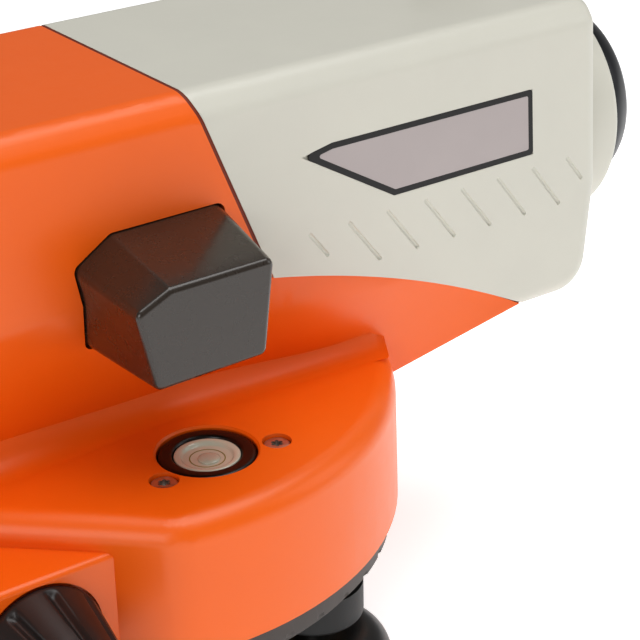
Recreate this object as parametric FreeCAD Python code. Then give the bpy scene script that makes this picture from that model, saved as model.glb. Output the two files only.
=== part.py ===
"""Automatic level for surveying, 24x class, on a levelling base.

Frame: the origin is on the tripod screw's axis at the underside of the base plate, +Z is up, and +X is the
line of sight from the eyepiece to the objective. All sizes are in millimetres.
"""
import FreeCAD, Part
import math
import os

V = FreeCAD.Vector
X_AXIS = V(1, 0, 0)
Y_AXIS = V(0, 1, 0)
Z_AXIS = V(0, 0, 1)
TURN = 360.0
EPS = 0.01
FAR = 200.0
SIDES = (-1, 1)

# levelling base
BASE_T = 5.0
BASE_HUB_R = 34.0
BASE_ARM_R = 11.5
BASE_BOSS_R = 16.0
BASE_BOSS_Z = 13.0
THREAD_R = 6.9
SPRING_T = 0.8
FOOT_R = 50.0
FOOT_ANGLES = {"a": 180.0, "b": -60.0, "c": 60.0}
BALL_R = 3.5
BALL_Z = 6.7
SEAT_GAP = 0.4
SEAT_R = 6.0
SEAT_FLOOR = 1.2
SPINDLE_R = 4.0
NECK_R = 2.4
NECK_TOP = 11.4
SPINDLE_TOP = 27.2
KNOB_Z0 = 7.4
KNOB_Z1 = 19.6
KNOB_R = 15.0
KNOB_TOP_R = 8.0
KNOB_SHOULDER = 7.5
RUN_FIT = 0.05
TRIBRACH_Z0 = 22.8
TRIBRACH_Z1 = 30.2
TRIBRACH_R = 46.0
TRIBRACH_ARM_R = 9.5
BUSH_R = 6.0
CENTRING_R = 43.8
CENTRING_WALL = 4.0
CENTRING_Z1 = 36.4
HUB_R = 22.0
HUB_Z1 = 40.2

# horizontal circle
CIRCLE_Z0 = 30.7
CIRCLE_Z1 = 37.5
CIRCLE_R = 60.8
CIRCLE_BORE = 44.2
SCALE_R = 50.6
SCALE_WALL = 1.4
SCALE_Z1 = 42.4
NOTCHES = 48
NOTCH_R = 1.7
NOTCH_H = 3.4

# vertical axis and slow motion drive
AXIS_R = 9.0
AXIS_TOP = 60.0
WHEEL_R = 33.2
WHEEL_ROOT_R = 32.2
WHEEL_TEETH = 90
WHEEL_Z0 = 42.6
WHEEL_Z1 = 49.4
WORM_X = -37.0
WORM_Z = 46.0
WORM_R = 3.3
WORM_ROOT_R = 2.6
WORM_HALF = 10.0
WORM_PITCH = 2.0
SHAFT_R = 2.2

# housing: drum
DRUM_Z0 = 38.0
DRUM_Z1 = 64.3
DRUM_R = 62.3
DRUM_TOP_R = 61.9
DRUM_RIM = 4.5
DRUM_WALL = 3.0
FACET_DIST = 54.0
FACET_ANGLES = (-132.6, 132.6, 180.0)
SKIRT_R = 6.5
SKIRT_STEPS = 8
CORNER_R = 12.0
BOSS_TOP = 58.8
BOSS_FACE = 52.8
BOSS_X0 = -52.0
BOSS_X1 = -22.5
ARCH_R = 11.7
ARCH_DEPTH = 2.6
TANGENT_R = 11.35
TANGENT_TIP_R = 8.4
TANGENT_FLUTES = 9
TANGENT_PHASE = 8.0
TANGENT_Y0 = 52.4
TANGENT_Y1 = 70.0
POST_R = 3.0
POST_PLACES = ((41.0, 0.0), (-29.0, -29.0), (-29.0, 29.0))

# housing: telescope body
AXIS_Z = 95.0
ROOF_Z = 126.0
ROOF_HALF = 26.3
SHOULDER_Z = 122.0
SHOULDER_HALF = 29.4
CREASE_Z = 94.0
CREASE_HALF = 31.0
WALL = 2.6
BODY_X0 = -66.0
BODY_X1 = 107.0
FRONT_LEAN = ((107.0, 88.0), (103.4, 65.0))
SHOULDER_R = 4.5
NECK_END = (-50.0, 22.4, 62.0, 27.1, 79.0)
NECK_WAIST = (5.0, 20.2, 62.0, 26.05, 79.0)
BELLY_ROOT = (50.0, 19.0, 50.6, 30.0, 79.0)
BELLY_TIP = (86.0, 32.2, 67.0, 31.8, 79.0)
FLARE_STEPS = 7
SKIRT_HALF = ((-49.0, 24.6), (-29.0, 23.6), (5.0, 21.6), (30.0, 23.4), (45.0, 24.3), (52.0, 24.9), (57.5, 22.0))
BELLY_HALF = 32.6
ROOM_Z = 70.0
SEAM_TOP_X = 11.2
SEAM_LOW = (25.4, 88.3)
ARCH_MID = (57.0, 79.4)
ARCH_END = (89.0, 64.6)
ARCH_GAP_SHARE = 0.4
GROOVE_R = 0.45
SEAM_GAP = 0.7
COVER_Z0 = 65.2
COVER_WALL = 2.0
COLLAR_R = 25.0
COLLAR_X1 = 118.2
COLLAR_EDGE = 2.0
TUBE_R = 20.5
TUBE_BORE = 19.0
TUBE_X0 = -12.0
TUBE_X1 = 112.0
CRADLE_X = (26.0, 58.0, 90.0)
SIGHT_X0 = 84.0
SIGHT_X1 = 99.0
COVER_SCREWS = ((93.0, -6.0), (93.0, 6.0))

# bubble level and its prism
LEVEL_X = 4.0
LEVEL_Y = -41.1
LEVEL_R = 9.0
LEVEL_POCKET_R = 9.2
LEVEL_POCKET_Z = 53.5
LEVEL_TOP = 63.9
VIAL_R = 6.1
LEVEL_SCREWS = ((-7.6, -45.4), (16.0, -45.7))
LEVEL_SCREW_R = 2.55
LEVEL_SCREW_POCKET = 2.72
LEVEL_SCREW_TOP = 63.8
BLOCK_FACE_Y = -50.0
BLOCK_ROOT_Y = -27.0
BLOCK_FACE = ((-10.3, 84.2), (11.8, 84.6), (14.1, 102.3), (-6.6, 102.2), (-13.4, 99.2))
BLOCK_ROOT = ((-11.6, 83.9), (15.6, 85.2), (17.0, 106.2), (-6.4, 106.0), (-14.2, 101.2))
BLOCK_WALL = 1.8
BLOCK_ROUND = 1.8
BLOCK_FRONT_ROUND = 1.0
BLOCK_GAP = 0.3

# focusing, eyepiece, compensator
FOCUS_X = 2.0
FOCUS_Z = 97.3
FOCUS_R = 13.0
FOCUS_Y0 = 32.4
FOCUS_Y1 = 47.0
CELL_R = 18.6
CELL_HALF = 6.0
EYE_TUBE_R = 14.0
EYE_BORE = 11.25
EYE_END = -78.0
DIOPTRE_R = 16.5
OCULAR_R = 11.2
CUP_R = 15.0
CUP_X = -91.0
CAP_PLACE = (0.0, 118.0)
SWING_Z = 116.0
SWING_X = -30.0


def save(name, shape):
    """Write one named piece."""
    shape.exportStep(os.path.join("parts", name + ".step"))
    print("%-22s solids %d  %9.1f mm3  valid %s" % (name, len(shape.Solids), shape.Volume, shape.isValid()))


def rod(radius, start, end, axis=Z_AXIS, at=(0.0, 0.0)):
    """A cylinder from start to end along an axis; at gives its place in the other two coordinates."""
    return Part.makeCylinder(radius, end - start, place(axis, start, at), axis)


def cone(radius0, radius1, start, end, axis=Z_AXIS, at=(0.0, 0.0)):
    """A cone frustum from start to end along an axis."""
    return Part.makeCone(radius0, radius1, end - start, place(axis, start, at), axis)


def place(axis, along, at):
    """The point at a distance along an axis, with the other two coordinates in x, y, z order."""
    if axis == X_AXIS:
        return V(along, at[0], at[1])
    if axis == Y_AXIS:
        return V(at[0], along, at[1])
    return V(at[0], at[1], along)


def tube(outer, inner, start, end, axis=Z_AXIS, at=(0.0, 0.0)):
    """A hollow cylinder."""
    return rod(outer, start, end, axis, at).cut(rod(inner, start - 1, end + 1, axis, at))


def block(x0, x1, y0, y1, z0, z1):
    """A box between two corners."""
    return Part.makeBox(x1 - x0, y1 - y0, z1 - z0, V(x0, y0, z0))


def face_of(points):
    """A flat face inside a closed outline."""
    return Part.Face(Part.makePolygon(points + points[:1]))


def turned(profile, axis=Z_AXIS, at=(0.0, 0.0)):
    """A solid of revolution from (radius, along) pairs."""
    centre = place(axis, 0.0, at)
    across = Z_AXIS if axis != Z_AXIS else X_AXIS
    points = [centre + across * r + axis * s for r, s in profile]
    return face_of(points).revolve(centre, axis, TURN)


def side_prism(points, y0, y1):
    """A solid with an outline in X and Z, from y0 to y1."""
    return face_of([V(x, y0, z) for x, z in points]).extrude(V(0, y1 - y0, 0))


def polar(radius, degrees):
    """X and Y of a point on a circle about the vertical axis."""
    return radius * math.cos(math.radians(degrees)), radius * math.sin(math.radians(degrees))


def fuse(shapes):
    """One solid from overlapping solids."""
    joined = shapes[0]
    for shape in shapes[1:]:
        joined = joined.fuse(shape)
    return joined.removeSplitter()


def cut(shape, tools):
    """A shape with tools taken away."""
    for tool in tools:
        shape = shape.cut(tool)
    return shape


def mirrored(shape):
    """The same shape on the other side of the line of sight."""
    return shape.mirror(V(0, 0, 0), Y_AXIS)


def rounded(shape, radius, wanted):
    """A shape with a fillet on the edges that a test picks; the radius is halved where it won't fit."""
    edges = [e for e in shape.Edges if wanted(e)]
    for size in (radius, radius / 2):
        try:
            result = shape.makeFillet(size, edges)
        except Part.OCCError:
            continue
        if result.isValid():
            return result
    print("fillet of %.1f left out on %d edges" % (radius, len(edges)))
    return shape


def middle(edge):
    """The point halfway along an edge."""
    return edge.valueAt((edge.FirstParameter + edge.LastParameter) / 2)


# ---- levelling base ----


def arms(radius, z0, z1):
    """Three rounded arms from the centre to the foot screws."""
    shapes = []
    for angle in FOOT_ANGLES.values():
        arm = block(0, FOOT_R, -radius, radius, z0, z1)
        arm.rotate(V(0, 0, 0), Z_AXIS, angle)
        shapes += [arm, rod(radius, z0, z1, at=polar(FOOT_R, angle))]
    return shapes


def base_plate():
    """Plate that the tripod screw clamps, with a threaded boss and three foot seats."""
    plate = fuse([rod(BASE_HUB_R, 0, BASE_T)] + arms(BASE_ARM_R, 0, BASE_T))
    plate = rounded(plate, 1.0, lambda e: e.BoundBox.ZMax < EPS)
    plate = fuse([plate, cone(BASE_BOSS_R, BASE_BOSS_R - 1, BASE_T - 1, BASE_BOSS_Z)])
    cuts = [rod(THREAD_R, -1, BASE_BOSS_Z + 1)]
    for name, angle in FOOT_ANGLES.items():
        spot = polar(FOOT_R, angle)
        if name == "a":
            cuts.append(rod(SEAT_R + SEAT_GAP, SEAT_FLOOR - SEAT_GAP, BASE_T + 1, at=spot))
        else:
            cuts.append(Part.makeSphere(BALL_R + SEAT_GAP, V(spot[0], spot[1], BALL_Z)))
    for spot in screw_spots():
        cuts.append(rod(1.5, 1, BASE_T + 1, at=spot))
    return cut(plate, cuts)


def screw_spots():
    """Places of the three screws that hold the spring plate."""
    return [polar(26.0, angle + 60) for angle in FOOT_ANGLES.values()]


def foot_seat():
    """Loose cup under the rear foot screw."""
    spot = polar(FOOT_R, FOOT_ANGLES["a"])
    seat = rod(SEAT_R, SEAT_FLOOR, BASE_T - SEAT_GAP, at=spot)
    return seat.cut(Part.makeSphere(BALL_R + SEAT_GAP, V(spot[0], spot[1], BALL_Z)))


def spring_plate():
    """Leaf spring that keeps the ball feet in their seats."""
    top = BASE_T + SPRING_T
    plate = fuse([rod(31.0, BASE_T, top)] + arms(BASE_ARM_R - 2, BASE_T, top))
    cuts = [rod(BASE_BOSS_R + 1, 0, FAR)]
    cuts += [rod(BALL_R + 1, 0, FAR, at=polar(FOOT_R, angle)) for angle in FOOT_ANGLES.values()]
    cuts += [rod(1.6, 0, FAR, at=spot) for spot in screw_spots()]
    return cut(plate, cuts)


def spring_plate_screws():
    """Three pan-head screws with a cross slot."""
    screws = []
    for x, y in screw_spots():
        top = BASE_T + SPRING_T
        screw = fuse([rod(1.45, 1.2, top + 1, at=(x, y)), rod(2.8, top, top + 1.6, at=(x, y))])
        slots = [block(x - 1.8, x + 1.8, y - 0.3, y + 0.3, top + 0.9, top + 2)]
        slots.append(block(x - 0.3, x + 0.3, y - 1.8, y + 1.8, top + 0.9, top + 2))
        screws.append(cut(screw, slots))
    return Part.makeCompound(screws)


def foot_spindle(angle):
    """Ball-ended screw spindle."""
    spot = polar(FOOT_R, angle)
    ball = Part.makeSphere(BALL_R, V(spot[0], spot[1], BALL_Z))
    shank = rod(SPINDLE_R, NECK_TOP, SPINDLE_TOP, at=spot)
    return fuse([ball, rod(NECK_R, BALL_Z, NECK_TOP + 1, at=spot), shank])


def foot_knob(angle):
    """Domed foot-screw knob with finger flutes."""
    steps = 6
    bore = SPINDLE_R + RUN_FIT
    profile = [(bore, NECK_TOP), (5.2, NECK_TOP), (5.2, KNOB_Z0), (KNOB_R - 1, KNOB_Z0)]
    profile.append((KNOB_R, KNOB_Z0 + 1))
    for step in range(steps + 1):
        bend = math.pi / 2 * step / steps
        radius = KNOB_TOP_R + (KNOB_R - KNOB_TOP_R) * math.cos(bend)
        profile.append((radius, KNOB_Z1 - KNOB_SHOULDER + KNOB_SHOULDER * math.sin(bend)))
    profile.append((bore, KNOB_Z1))
    spot = polar(FOOT_R, angle)
    knob = turned(profile, at=spot)
    flutes = 18
    for index in range(flutes):
        dx, dy = polar(KNOB_R + 0.9, TURN * index / flutes)
        knob = knob.cut(rod(1.5, KNOB_Z0 - 1, KNOB_Z0 + 5.2, at=(spot[0] + dx, spot[1] + dy)))
    return knob


def tribrach():
    """Upper plate of the base: it holds the foot-screw bushes, the circle and the vertical axis."""
    plate = fuse([rod(TRIBRACH_R, TRIBRACH_Z0, TRIBRACH_Z1)] + arms(TRIBRACH_ARM_R, TRIBRACH_Z0, TRIBRACH_Z1))
    plate = rounded(plate, 1.2, lambda e: e.BoundBox.ZMax < TRIBRACH_Z0 + EPS)
    rim = tube(CENTRING_R, CENTRING_R - CENTRING_WALL, TRIBRACH_Z1 - 1, CENTRING_Z1)
    plate = fuse([plate, rim, rod(HUB_R, TRIBRACH_Z1 - 1, HUB_Z1)])
    cuts = [rod(BUSH_R, 0, FAR, at=polar(FOOT_R, angle)) for angle in FOOT_ANGLES.values()]
    cuts.append(rod(AXIS_R, 0, FAR))
    cuts.append(rod(AXIS_R + 3, TRIBRACH_Z0 - 1, TRIBRACH_Z0 + 3))
    return cut(plate, cuts)


def foot_bushes():
    """Three brass bushes pressed into the tribrach."""
    top = TRIBRACH_Z1 - 0.2
    bore = SPINDLE_R + RUN_FIT
    places = [polar(FOOT_R, angle) for angle in FOOT_ANGLES.values()]
    return Part.makeCompound([tube(BUSH_R, bore, TRIBRACH_Z0, top, at=spot) for spot in places])


def axis_spindle():
    """Steel vertical axis, fixed in the tribrach by its flange."""
    flange = rod(AXIS_R + 3, TRIBRACH_Z0, TRIBRACH_Z0 + 3)
    spindle = fuse([flange, rod(AXIS_R, TRIBRACH_Z0, AXIS_TOP)])
    return spindle.cut(rod(3.0, TRIBRACH_Z0 - 1, AXIS_TOP - 8))


def horizontal_circle():
    """Notched grip ring with the upright scale wall that is read through the window."""
    lip = CIRCLE_R - 1.3
    profile = [(CIRCLE_BORE, CIRCLE_Z0), (lip - 1, CIRCLE_Z0), (lip, CIRCLE_Z0 + 1), (lip, CIRCLE_Z0 + 1.6)]
    profile += [(CIRCLE_R, CIRCLE_Z0 + 2.6), (CIRCLE_R, CIRCLE_Z1 - 0.6), (CIRCLE_R - 0.6, CIRCLE_Z1)]
    profile += [(SCALE_R, CIRCLE_Z1), (SCALE_R, SCALE_Z1), (SCALE_R - SCALE_WALL, SCALE_Z1)]
    profile += [(SCALE_R - SCALE_WALL, CIRCLE_Z1), (CIRCLE_BORE, CIRCLE_Z1)]
    ring = turned(profile)
    notch = cone(NOTCH_R, NOTCH_R * 0.6, CIRCLE_Z0 - EPS, CIRCLE_Z0 + NOTCH_H, at=(CIRCLE_R + 0.5, 0.0))
    for index in range(NOTCHES):
        tool = notch.copy()
        tool.rotate(V(0, 0, 0), Z_AXIS, TURN * index / NOTCHES)
        ring = ring.cut(tool)
    return ring


# ---- slow motion drive ----


def worm_wheel():
    """Bronze wheel that grips the vertical axis by friction."""
    points = []
    for index in range(WHEEL_TEETH):
        for share, radius in ((0.0, WHEEL_ROOT_R), (0.25, WHEEL_R), (0.5, WHEEL_R), (0.75, WHEEL_ROOT_R)):
            x, y = polar(radius, TURN * (index + share) / WHEEL_TEETH)
            points.append(V(x, y, WHEEL_Z0))
    wheel = face_of(points).extrude(V(0, 0, WHEEL_Z1 - WHEEL_Z0))
    wheel = wheel.cut(rod(AXIS_R + RUN_FIT, 0, FAR))
    for index in range(6):
        wheel = wheel.cut(rod(5.0, 0, FAR, at=polar(21.0, TURN * index / 6)))
    return wheel


def clutch_spring():
    """Spring washer under the worm wheel."""
    return tube(15.0, AXIS_R + 1, HUB_Z1 + 1.2, WHEEL_Z0)


def worm_shaft():
    """Cross shaft with the worm in its middle; the thread is drawn as rings."""
    profile = [(0, -TANGENT_Y0 - 10), (SHAFT_R, -TANGENT_Y0 - 10), (SHAFT_R, -WORM_HALF)]
    profile.append((WORM_ROOT_R, -WORM_HALF))
    count = int(2 * WORM_HALF / WORM_PITCH)
    for index in range(count):
        start = -WORM_HALF + index * WORM_PITCH
        profile.append((WORM_R, start + 0.35 * WORM_PITCH))
        profile.append((WORM_R, start + 0.65 * WORM_PITCH))
        profile.append((WORM_ROOT_R, start + WORM_PITCH))
    profile += [(SHAFT_R, WORM_HALF), (SHAFT_R, TANGENT_Y0 + 10), (0, TANGENT_Y0 + 10)]
    return turned(profile, Y_AXIS, (WORM_X, WORM_Z))


def tangent_knob(side):
    """Tapered, ribbed slow-motion knob."""
    tip = TANGENT_Y1 - 2
    profile = [(SHAFT_R, TANGENT_Y0), (TANGENT_R - 0.8, TANGENT_Y0), (TANGENT_R, TANGENT_Y0 + 0.8)]
    profile += [(TANGENT_TIP_R, tip), (TANGENT_TIP_R - 1.6, TANGENT_Y1), (0, TANGENT_Y1)]
    profile += [(0, TANGENT_Y0 + 10), (SHAFT_R, TANGENT_Y0 + 10)]
    knob = turned(profile, Y_AXIS, (WORM_X, WORM_Z))
    slope = (TANGENT_R - TANGENT_TIP_R) / (tip - TANGENT_Y0)
    for index in range(TANGENT_FLUTES):
        angle = math.radians(TANGENT_PHASE + TURN * index / TANGENT_FLUTES)
        out = V(math.sin(angle), 0, math.cos(angle))
        start = V(WORM_X, TANGENT_Y0 + 3.2, WORM_Z) + out * (TANGENT_R + 0.1)
        along = (Y_AXIS - out * slope).normalize()
        knob = knob.cut(Part.makeCylinder(1.0, FAR / 4, start, along))
    return knob if side > 0 else mirrored(knob)


# ---- housing ----


def outline(bottom_half, bottom_z, bend, inset):
    """Closed symmetric section of the telescope body with an optional bend below the crease, moved in by inset."""
    right = [(ROOF_HALF, ROOF_Z), (SHOULDER_HALF, SHOULDER_Z), (CREASE_HALF, CREASE_Z)]
    right += [bend] if bend else []
    right.append((bottom_half, bottom_z))
    ring = right + [(-y, z) for y, z in reversed(right)]
    lines = []
    for (y0, z0), (y1, z1) in zip(ring, ring[1:] + ring[:1]):
        length = math.hypot(y1 - y0, z1 - z0)
        normal = ((z1 - z0) / length, -(y1 - y0) / length)
        lines.append((normal, normal[0] * y0 + normal[1] * z0 + inset))
    points = []
    for (n0, c0), (n1, c1) in zip(lines[-1:] + lines[:-1], lines):
        det = n0[0] * n1[1] - n0[1] * n1[0]
        points.append(((c0 * n1[1] - c1 * n0[1]) / det, (n0[0] * c1 - n1[0] * c0) / det))
    return points


def body_solid(stations, inset):
    """Loft of the telescope section through (x, bottom half-width, bottom height, bend) stations."""
    wires = []
    for x, bottom_half, bottom_z, *bend in stations:
        points = [V(x, y, z) for y, z in outline(bottom_half, bottom_z, tuple(bend), inset)]
        wires.append(Part.makePolygon(points + points[:1]))
    return Part.makeLoft(wires, True, True)


def rear_stations():
    """Sections of the casting, from the eyepiece wall to the belly's tip."""
    flare = []
    for step in range(FLARE_STEPS + 1):
        share = step / FLARE_STEPS
        ease = (1 - math.cos(math.pi * share)) / 2
        x = NECK_WAIST[0] + (BELLY_ROOT[0] - NECK_WAIST[0]) * share
        flare.append((x, *[a + (b - a) * ease for a, b in zip(NECK_WAIST[1:], BELLY_ROOT[1:])]))
    return [(BODY_X0, 25.0, 78.0, 28.1, 86.0), NECK_END] + flare + [BELLY_TIP]


def room_stations():
    """Outer sections at the height where the room inside the casting ends."""
    return [
        (BODY_X0 + WALL, 25.0, 80.0),
        (-49.0, 24.5, ROOM_Z),
        (5.0, 22.9, ROOM_Z),
        (50.0, 26.4, ROOM_Z),
        (80.0, 30.4, ROOM_Z + 2),
    ]


def front_station_pair():
    """Sections of the objective cover."""
    return [(SEAM_TOP_X - 4, BELLY_HALF, COVER_Z0), (BODY_X1, BELLY_HALF, COVER_Z0)]


def arch_side(shift):
    """Solid over everything in front of the seam and above the arch, moved forward and up by shift."""
    rise = SEAM_LOW[1]
    lean = (SEAM_LOW[0] - SEAM_TOP_X) / (ROOF_Z - rise)
    top = V(SEAM_TOP_X - lean * 20 + shift, -FAR / 2, ROOF_Z + 20)
    low = V(SEAM_LOW[0] + shift, -FAR / 2, SEAM_LOW[1] + shift * ARCH_GAP_SHARE)
    mid = V(ARCH_MID[0] + shift / 2, -FAR / 2, ARCH_MID[1] + shift * ARCH_GAP_SHARE)
    end = V(ARCH_END[0], -FAR / 2, ARCH_END[1] + shift * ARCH_GAP_SHARE)
    corners = [V(ARCH_END[0], -FAR / 2, 0), V(FAR, -FAR / 2, 0), V(FAR, -FAR / 2, FAR), V(top.x, -FAR / 2, FAR)]
    edges = [Part.LineSegment(top, low).toShape(), Part.Arc(low, mid, end).toShape()]
    path = [end] + corners + [top]
    edges += [Part.LineSegment(p, q).toShape() for p, q in zip(path, path[1:])]
    return Part.Face(Part.Wire(edges)).extrude(V(0, FAR, 0))


def drum_block(z0, z1, inset):
    """Drum plan: a disc with three flats towards the eyepiece."""
    if inset:
        disc = rod(DRUM_R - inset, z0, z1)
    else:
        disc = cone(DRUM_R, DRUM_TOP_R, z0, z1)
    for angle in FACET_ANGLES:
        tool = block(FACET_DIST - inset, FAR, -FAR / 2, FAR / 2, 0, FAR)
        tool.rotate(V(0, 0, 0), Z_AXIS, angle)
        disc = disc.cut(tool)
    return rounded(disc, CORNER_R, lambda e: e.BoundBox.ZLength > (z1 - z0) / 2 and middle(e).x < 0)


def tangent_boss(side):
    """Block on the drum's flat around a slow-motion knob."""
    points = [(BOSS_X1, -30.0), (BOSS_X1, -BOSS_FACE), (BOSS_X0 + 6, -BOSS_FACE), (BOSS_X0, -BOSS_FACE + 6)]
    points += [(BOSS_X0, -34.0), (-44.0, -26.0)]
    boss = face_of([V(x, y, DRUM_Z0) for x, y in points]).extrude(V(0, 0, BOSS_TOP - DRUM_Z0))
    boss = rounded(boss, 1.2, lambda e: e.BoundBox.ZMin > BOSS_TOP - EPS and middle(e).y < -34)
    return boss if side < 0 else mirrored(boss)


def housing_outside():
    """Outer form of the main casting before it is hollowed."""
    body = body_solid(rear_stations(), 0.0).removeSplitter()
    body = rounded(body, SHOULDER_R, lambda e: middle(e).z > SHOULDER_Z - 1 and e.BoundBox.XLength > 1)
    body = rounded(body, 5.0, lambda e: e.BoundBox.XMax < BODY_X0 + 3 and middle(e).z > 80)
    drum = drum_block(DRUM_Z0, DRUM_Z1, 0.0)
    drum = rounded(drum, DRUM_RIM, lambda e: e.BoundBox.ZMin > DRUM_Z1 - EPS)
    skirt = neck_skirt().common(drum_block(DRUM_Z0, ROOF_Z, 1.2))
    return fuse([drum, body, skirt, tangent_boss(-1), tangent_boss(1)])


def neck_skirt():
    """Hollow curve between the neck and the drum's top, as a stack of sloped rings."""
    wires = []
    for step in range(SKIRT_STEPS + 1):
        bend = math.pi / 2 * step / SKIRT_STEPS
        out = SKIRT_R * (1 - math.sin(bend))
        z = DRUM_Z1 - EPS + SKIRT_R * (1 - math.cos(bend))
        half = [(x, wide + out) for x, wide in SKIRT_HALF]
        ring = half + [(x, -y) for x, y in reversed(half)]
        points = [V(x, y, z) for x, y in ring]
        wires.append(Part.makePolygon(points + points[:1]))
    return Part.makeLoft(wires, True, True)


def main_housing():
    """Main casting: telescope body, neck and drum in one piece."""
    shell = housing_outside().cut(arch_side(0.0))
    room = body_solid(room_stations(), WALL)
    cavity = drum_block(DRUM_Z0 - 1, DRUM_Z1 - DRUM_WALL, DRUM_WALL)
    keep = [rod(LEVEL_POCKET_R + 2, LEVEL_POCKET_Z - 2, DRUM_Z1, at=(LEVEL_X, LEVEL_Y))]
    keep.append(rod(14.0, WHEEL_Z1 + 1.1, DRUM_Z1))
    keep += [rod(POST_R, DRUM_Z0 + 2, DRUM_Z1, at=spot) for spot in POST_PLACES]
    for side in SIDES:
        keep.append(rod(5.0, 44.0, 52.0, Y_AXIS, (WORM_X, WORM_Z)).mirror(V(0, 0, 0), Y_AXIS)
                    if side < 0 else rod(5.0, 44.0, 52.0, Y_AXIS, (WORM_X, WORM_Z)))
    cavity = cut(cavity, keep)
    shell = cut(shell, [room, cavity])
    shell = fuse([shell, front_cradle()])
    return cut(shell, housing_holes())


def front_cradle():
    """Ribs of the casting that carry the telescope tube inside the cover."""
    ribs = [block(60.0, 96.0, -10, 10, COVER_Z0 + COVER_WALL + 0.2, ROOM_Z + WALL)]
    for x in CRADLE_X:
        ribs.append(block(x, x + 6, -14, 14, ROOM_Z - 2, AXIS_Z - TUBE_R))
        ribs.append(tube(TUBE_R + 3, TUBE_R, x, x + 6, X_AXIS, (0.0, AXIS_Z)))
    return fuse(ribs)


def housing_holes():
    """Bores, pockets and openings of the main casting."""
    holes = [rod(AXIS_R + 3, 0, DRUM_Z1 - 2.5)]
    holes.append(rod(LEVEL_POCKET_R, LEVEL_POCKET_Z, FAR / 2 - 15, at=(LEVEL_X, LEVEL_Y)))
    lip = (LEVEL_POCKET_R, LEVEL_POCKET_R + 0.5)
    holes.append(cone(*lip, DRUM_Z1 - 0.4, DRUM_Z1 + 0.1, at=(LEVEL_X, LEVEL_Y)))
    for spot in LEVEL_SCREWS:
        holes.append(rod(LEVEL_SCREW_POCKET, LEVEL_SCREW_TOP - 2.2, DRUM_Z1 + 1, at=spot))
        holes.append(rod(1.2, LEVEL_POCKET_Z, DRUM_Z1, at=spot))
    for spot in POST_PLACES:
        holes.append(rod(1.0, DRUM_Z0, DRUM_Z0 + 12, at=spot))
    for spot in COVER_SCREWS:
        holes.append(rod(1.45, COVER_Z0, COVER_Z0 + 7, at=spot))
    holes.append(rod(1.5, BODY_X0 - 1, BODY_X0 + 6, X_AXIS, CAP_PLACE))
    for side in SIDES:
        y0, y1 = sorted((side * (BOSS_FACE - ARCH_DEPTH), side * FAR / 2))
        holes.append(rod(ARCH_R, y0, y1, Y_AXIS, (WORM_X, WORM_Z)))
    holes.append(rod(SHAFT_R + RUN_FIT, -FAR / 2, FAR / 2, Y_AXIS, (WORM_X, WORM_Z)))
    holes.append(rod(4.0 + RUN_FIT, 20.0, FAR / 2, Y_AXIS, (FOCUS_X, FOCUS_Z)))
    holes.append(rod(EYE_TUBE_R, BODY_X0 - 10, BODY_X0 + 6, X_AXIS, (0.0, AXIS_Z)))
    holes.append(rod(TUBE_R, TUBE_X0, TUBE_X1, X_AXIS, (0.0, AXIS_Z)))
    holes.append(prism_pocket())
    holes.append(block(-FACET_DIST - 5, -SCALE_R, -7.0, 7.0, DRUM_Z0 - 1, DRUM_Z0 + 8))
    return holes


def prism_pocket():
    """Opening in the side wall that the prism housing plugs into."""
    pocket = prism_loft(BLOCK_GAP, BLOCK_ROOT_Y + 6, BLOCK_FACE_Y)
    return rounded(pocket, BLOCK_ROUND, lambda e: e.BoundBox.YLength > 5)


def prism_loft(grow, y_root, y_face):
    """Five-sided block between the wall and the front face, grown outwards by grow."""
    wires = []
    span = BLOCK_FACE_Y - BLOCK_ROOT_Y
    for y in (y_root, y_face):
        share = (y - BLOCK_ROOT_Y) / span
        ring = []
        for (x0, z0), (x1, z1) in zip(BLOCK_ROOT, BLOCK_FACE):
            ring.append((x0 + (x1 - x0) * share, z0 + (z1 - z0) * share))
        centre = (sum(p[0] for p in ring) / 5, sum(p[1] for p in ring) / 5)
        points = []
        for x, z in ring:
            reach = math.hypot(x - centre[0], z - centre[1])
            scale = 1 + grow / reach
            points.append(V(centre[0] + (x - centre[0]) * scale, y, centre[1] + (z - centre[1]) * scale))
        wires.append(Part.makePolygon(points + points[:1]))
    return Part.makeLoft(wires, True, True)


def bottom_cover():
    """Plate that closes the drum around the vertical axis."""
    plate = rod(47.5, DRUM_Z0 + 0.2, DRUM_Z0 + 2)
    holes = [rod(HUB_R + 1, 0, FAR)]
    for spot in POST_PLACES:
        holes.append(rod(1.1, 0, FAR, at=spot))
        holes.append(cone(2.3, 1.0, DRUM_Z0 + 0.2, DRUM_Z0 + 1.5, at=spot))
    return cut(plate, holes)


def bottom_cover_screws():
    """Three countersunk screws of the bottom plate."""
    z0 = DRUM_Z0 + 0.3
    return Part.makeCompound([countersunk(spot, z0, 2.1, 0.95, 9.0) for spot in POST_PLACES])


def countersunk(spot, z0, head, shank, length):
    """A screw driven upwards, with a cross slot in its head."""
    screw = fuse([cone(head, shank, z0, z0 + 1.2, at=spot), rod(shank, z0 + 1, z0 + length, at=spot)])
    x, y = spot
    slots = [block(x - head * 0.6, x + head * 0.6, y - 0.2, y + 0.2, z0 - 1, z0 + 0.5)]
    slots.append(block(x - 0.2, x + 0.2, y - head * 0.6, y + head * 0.6, z0 - 1, z0 + 0.5))
    return cut(screw, slots)


def axis_bush():
    """Bronze bearing bush of the vertical axis."""
    return tube(AXIS_R + 3, AXIS_R + RUN_FIT, WHEEL_Z1 + 1.1, DRUM_Z1 - 2.6)


def index_window():
    """Clear pane over the circle's scale."""
    return block(-FACET_DIST + 0.4, -FACET_DIST + 1.8, -7.0, 7.0, DRUM_Z0 + 0.6, DRUM_Z0 + 8)


# ---- objective cover ----


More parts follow.
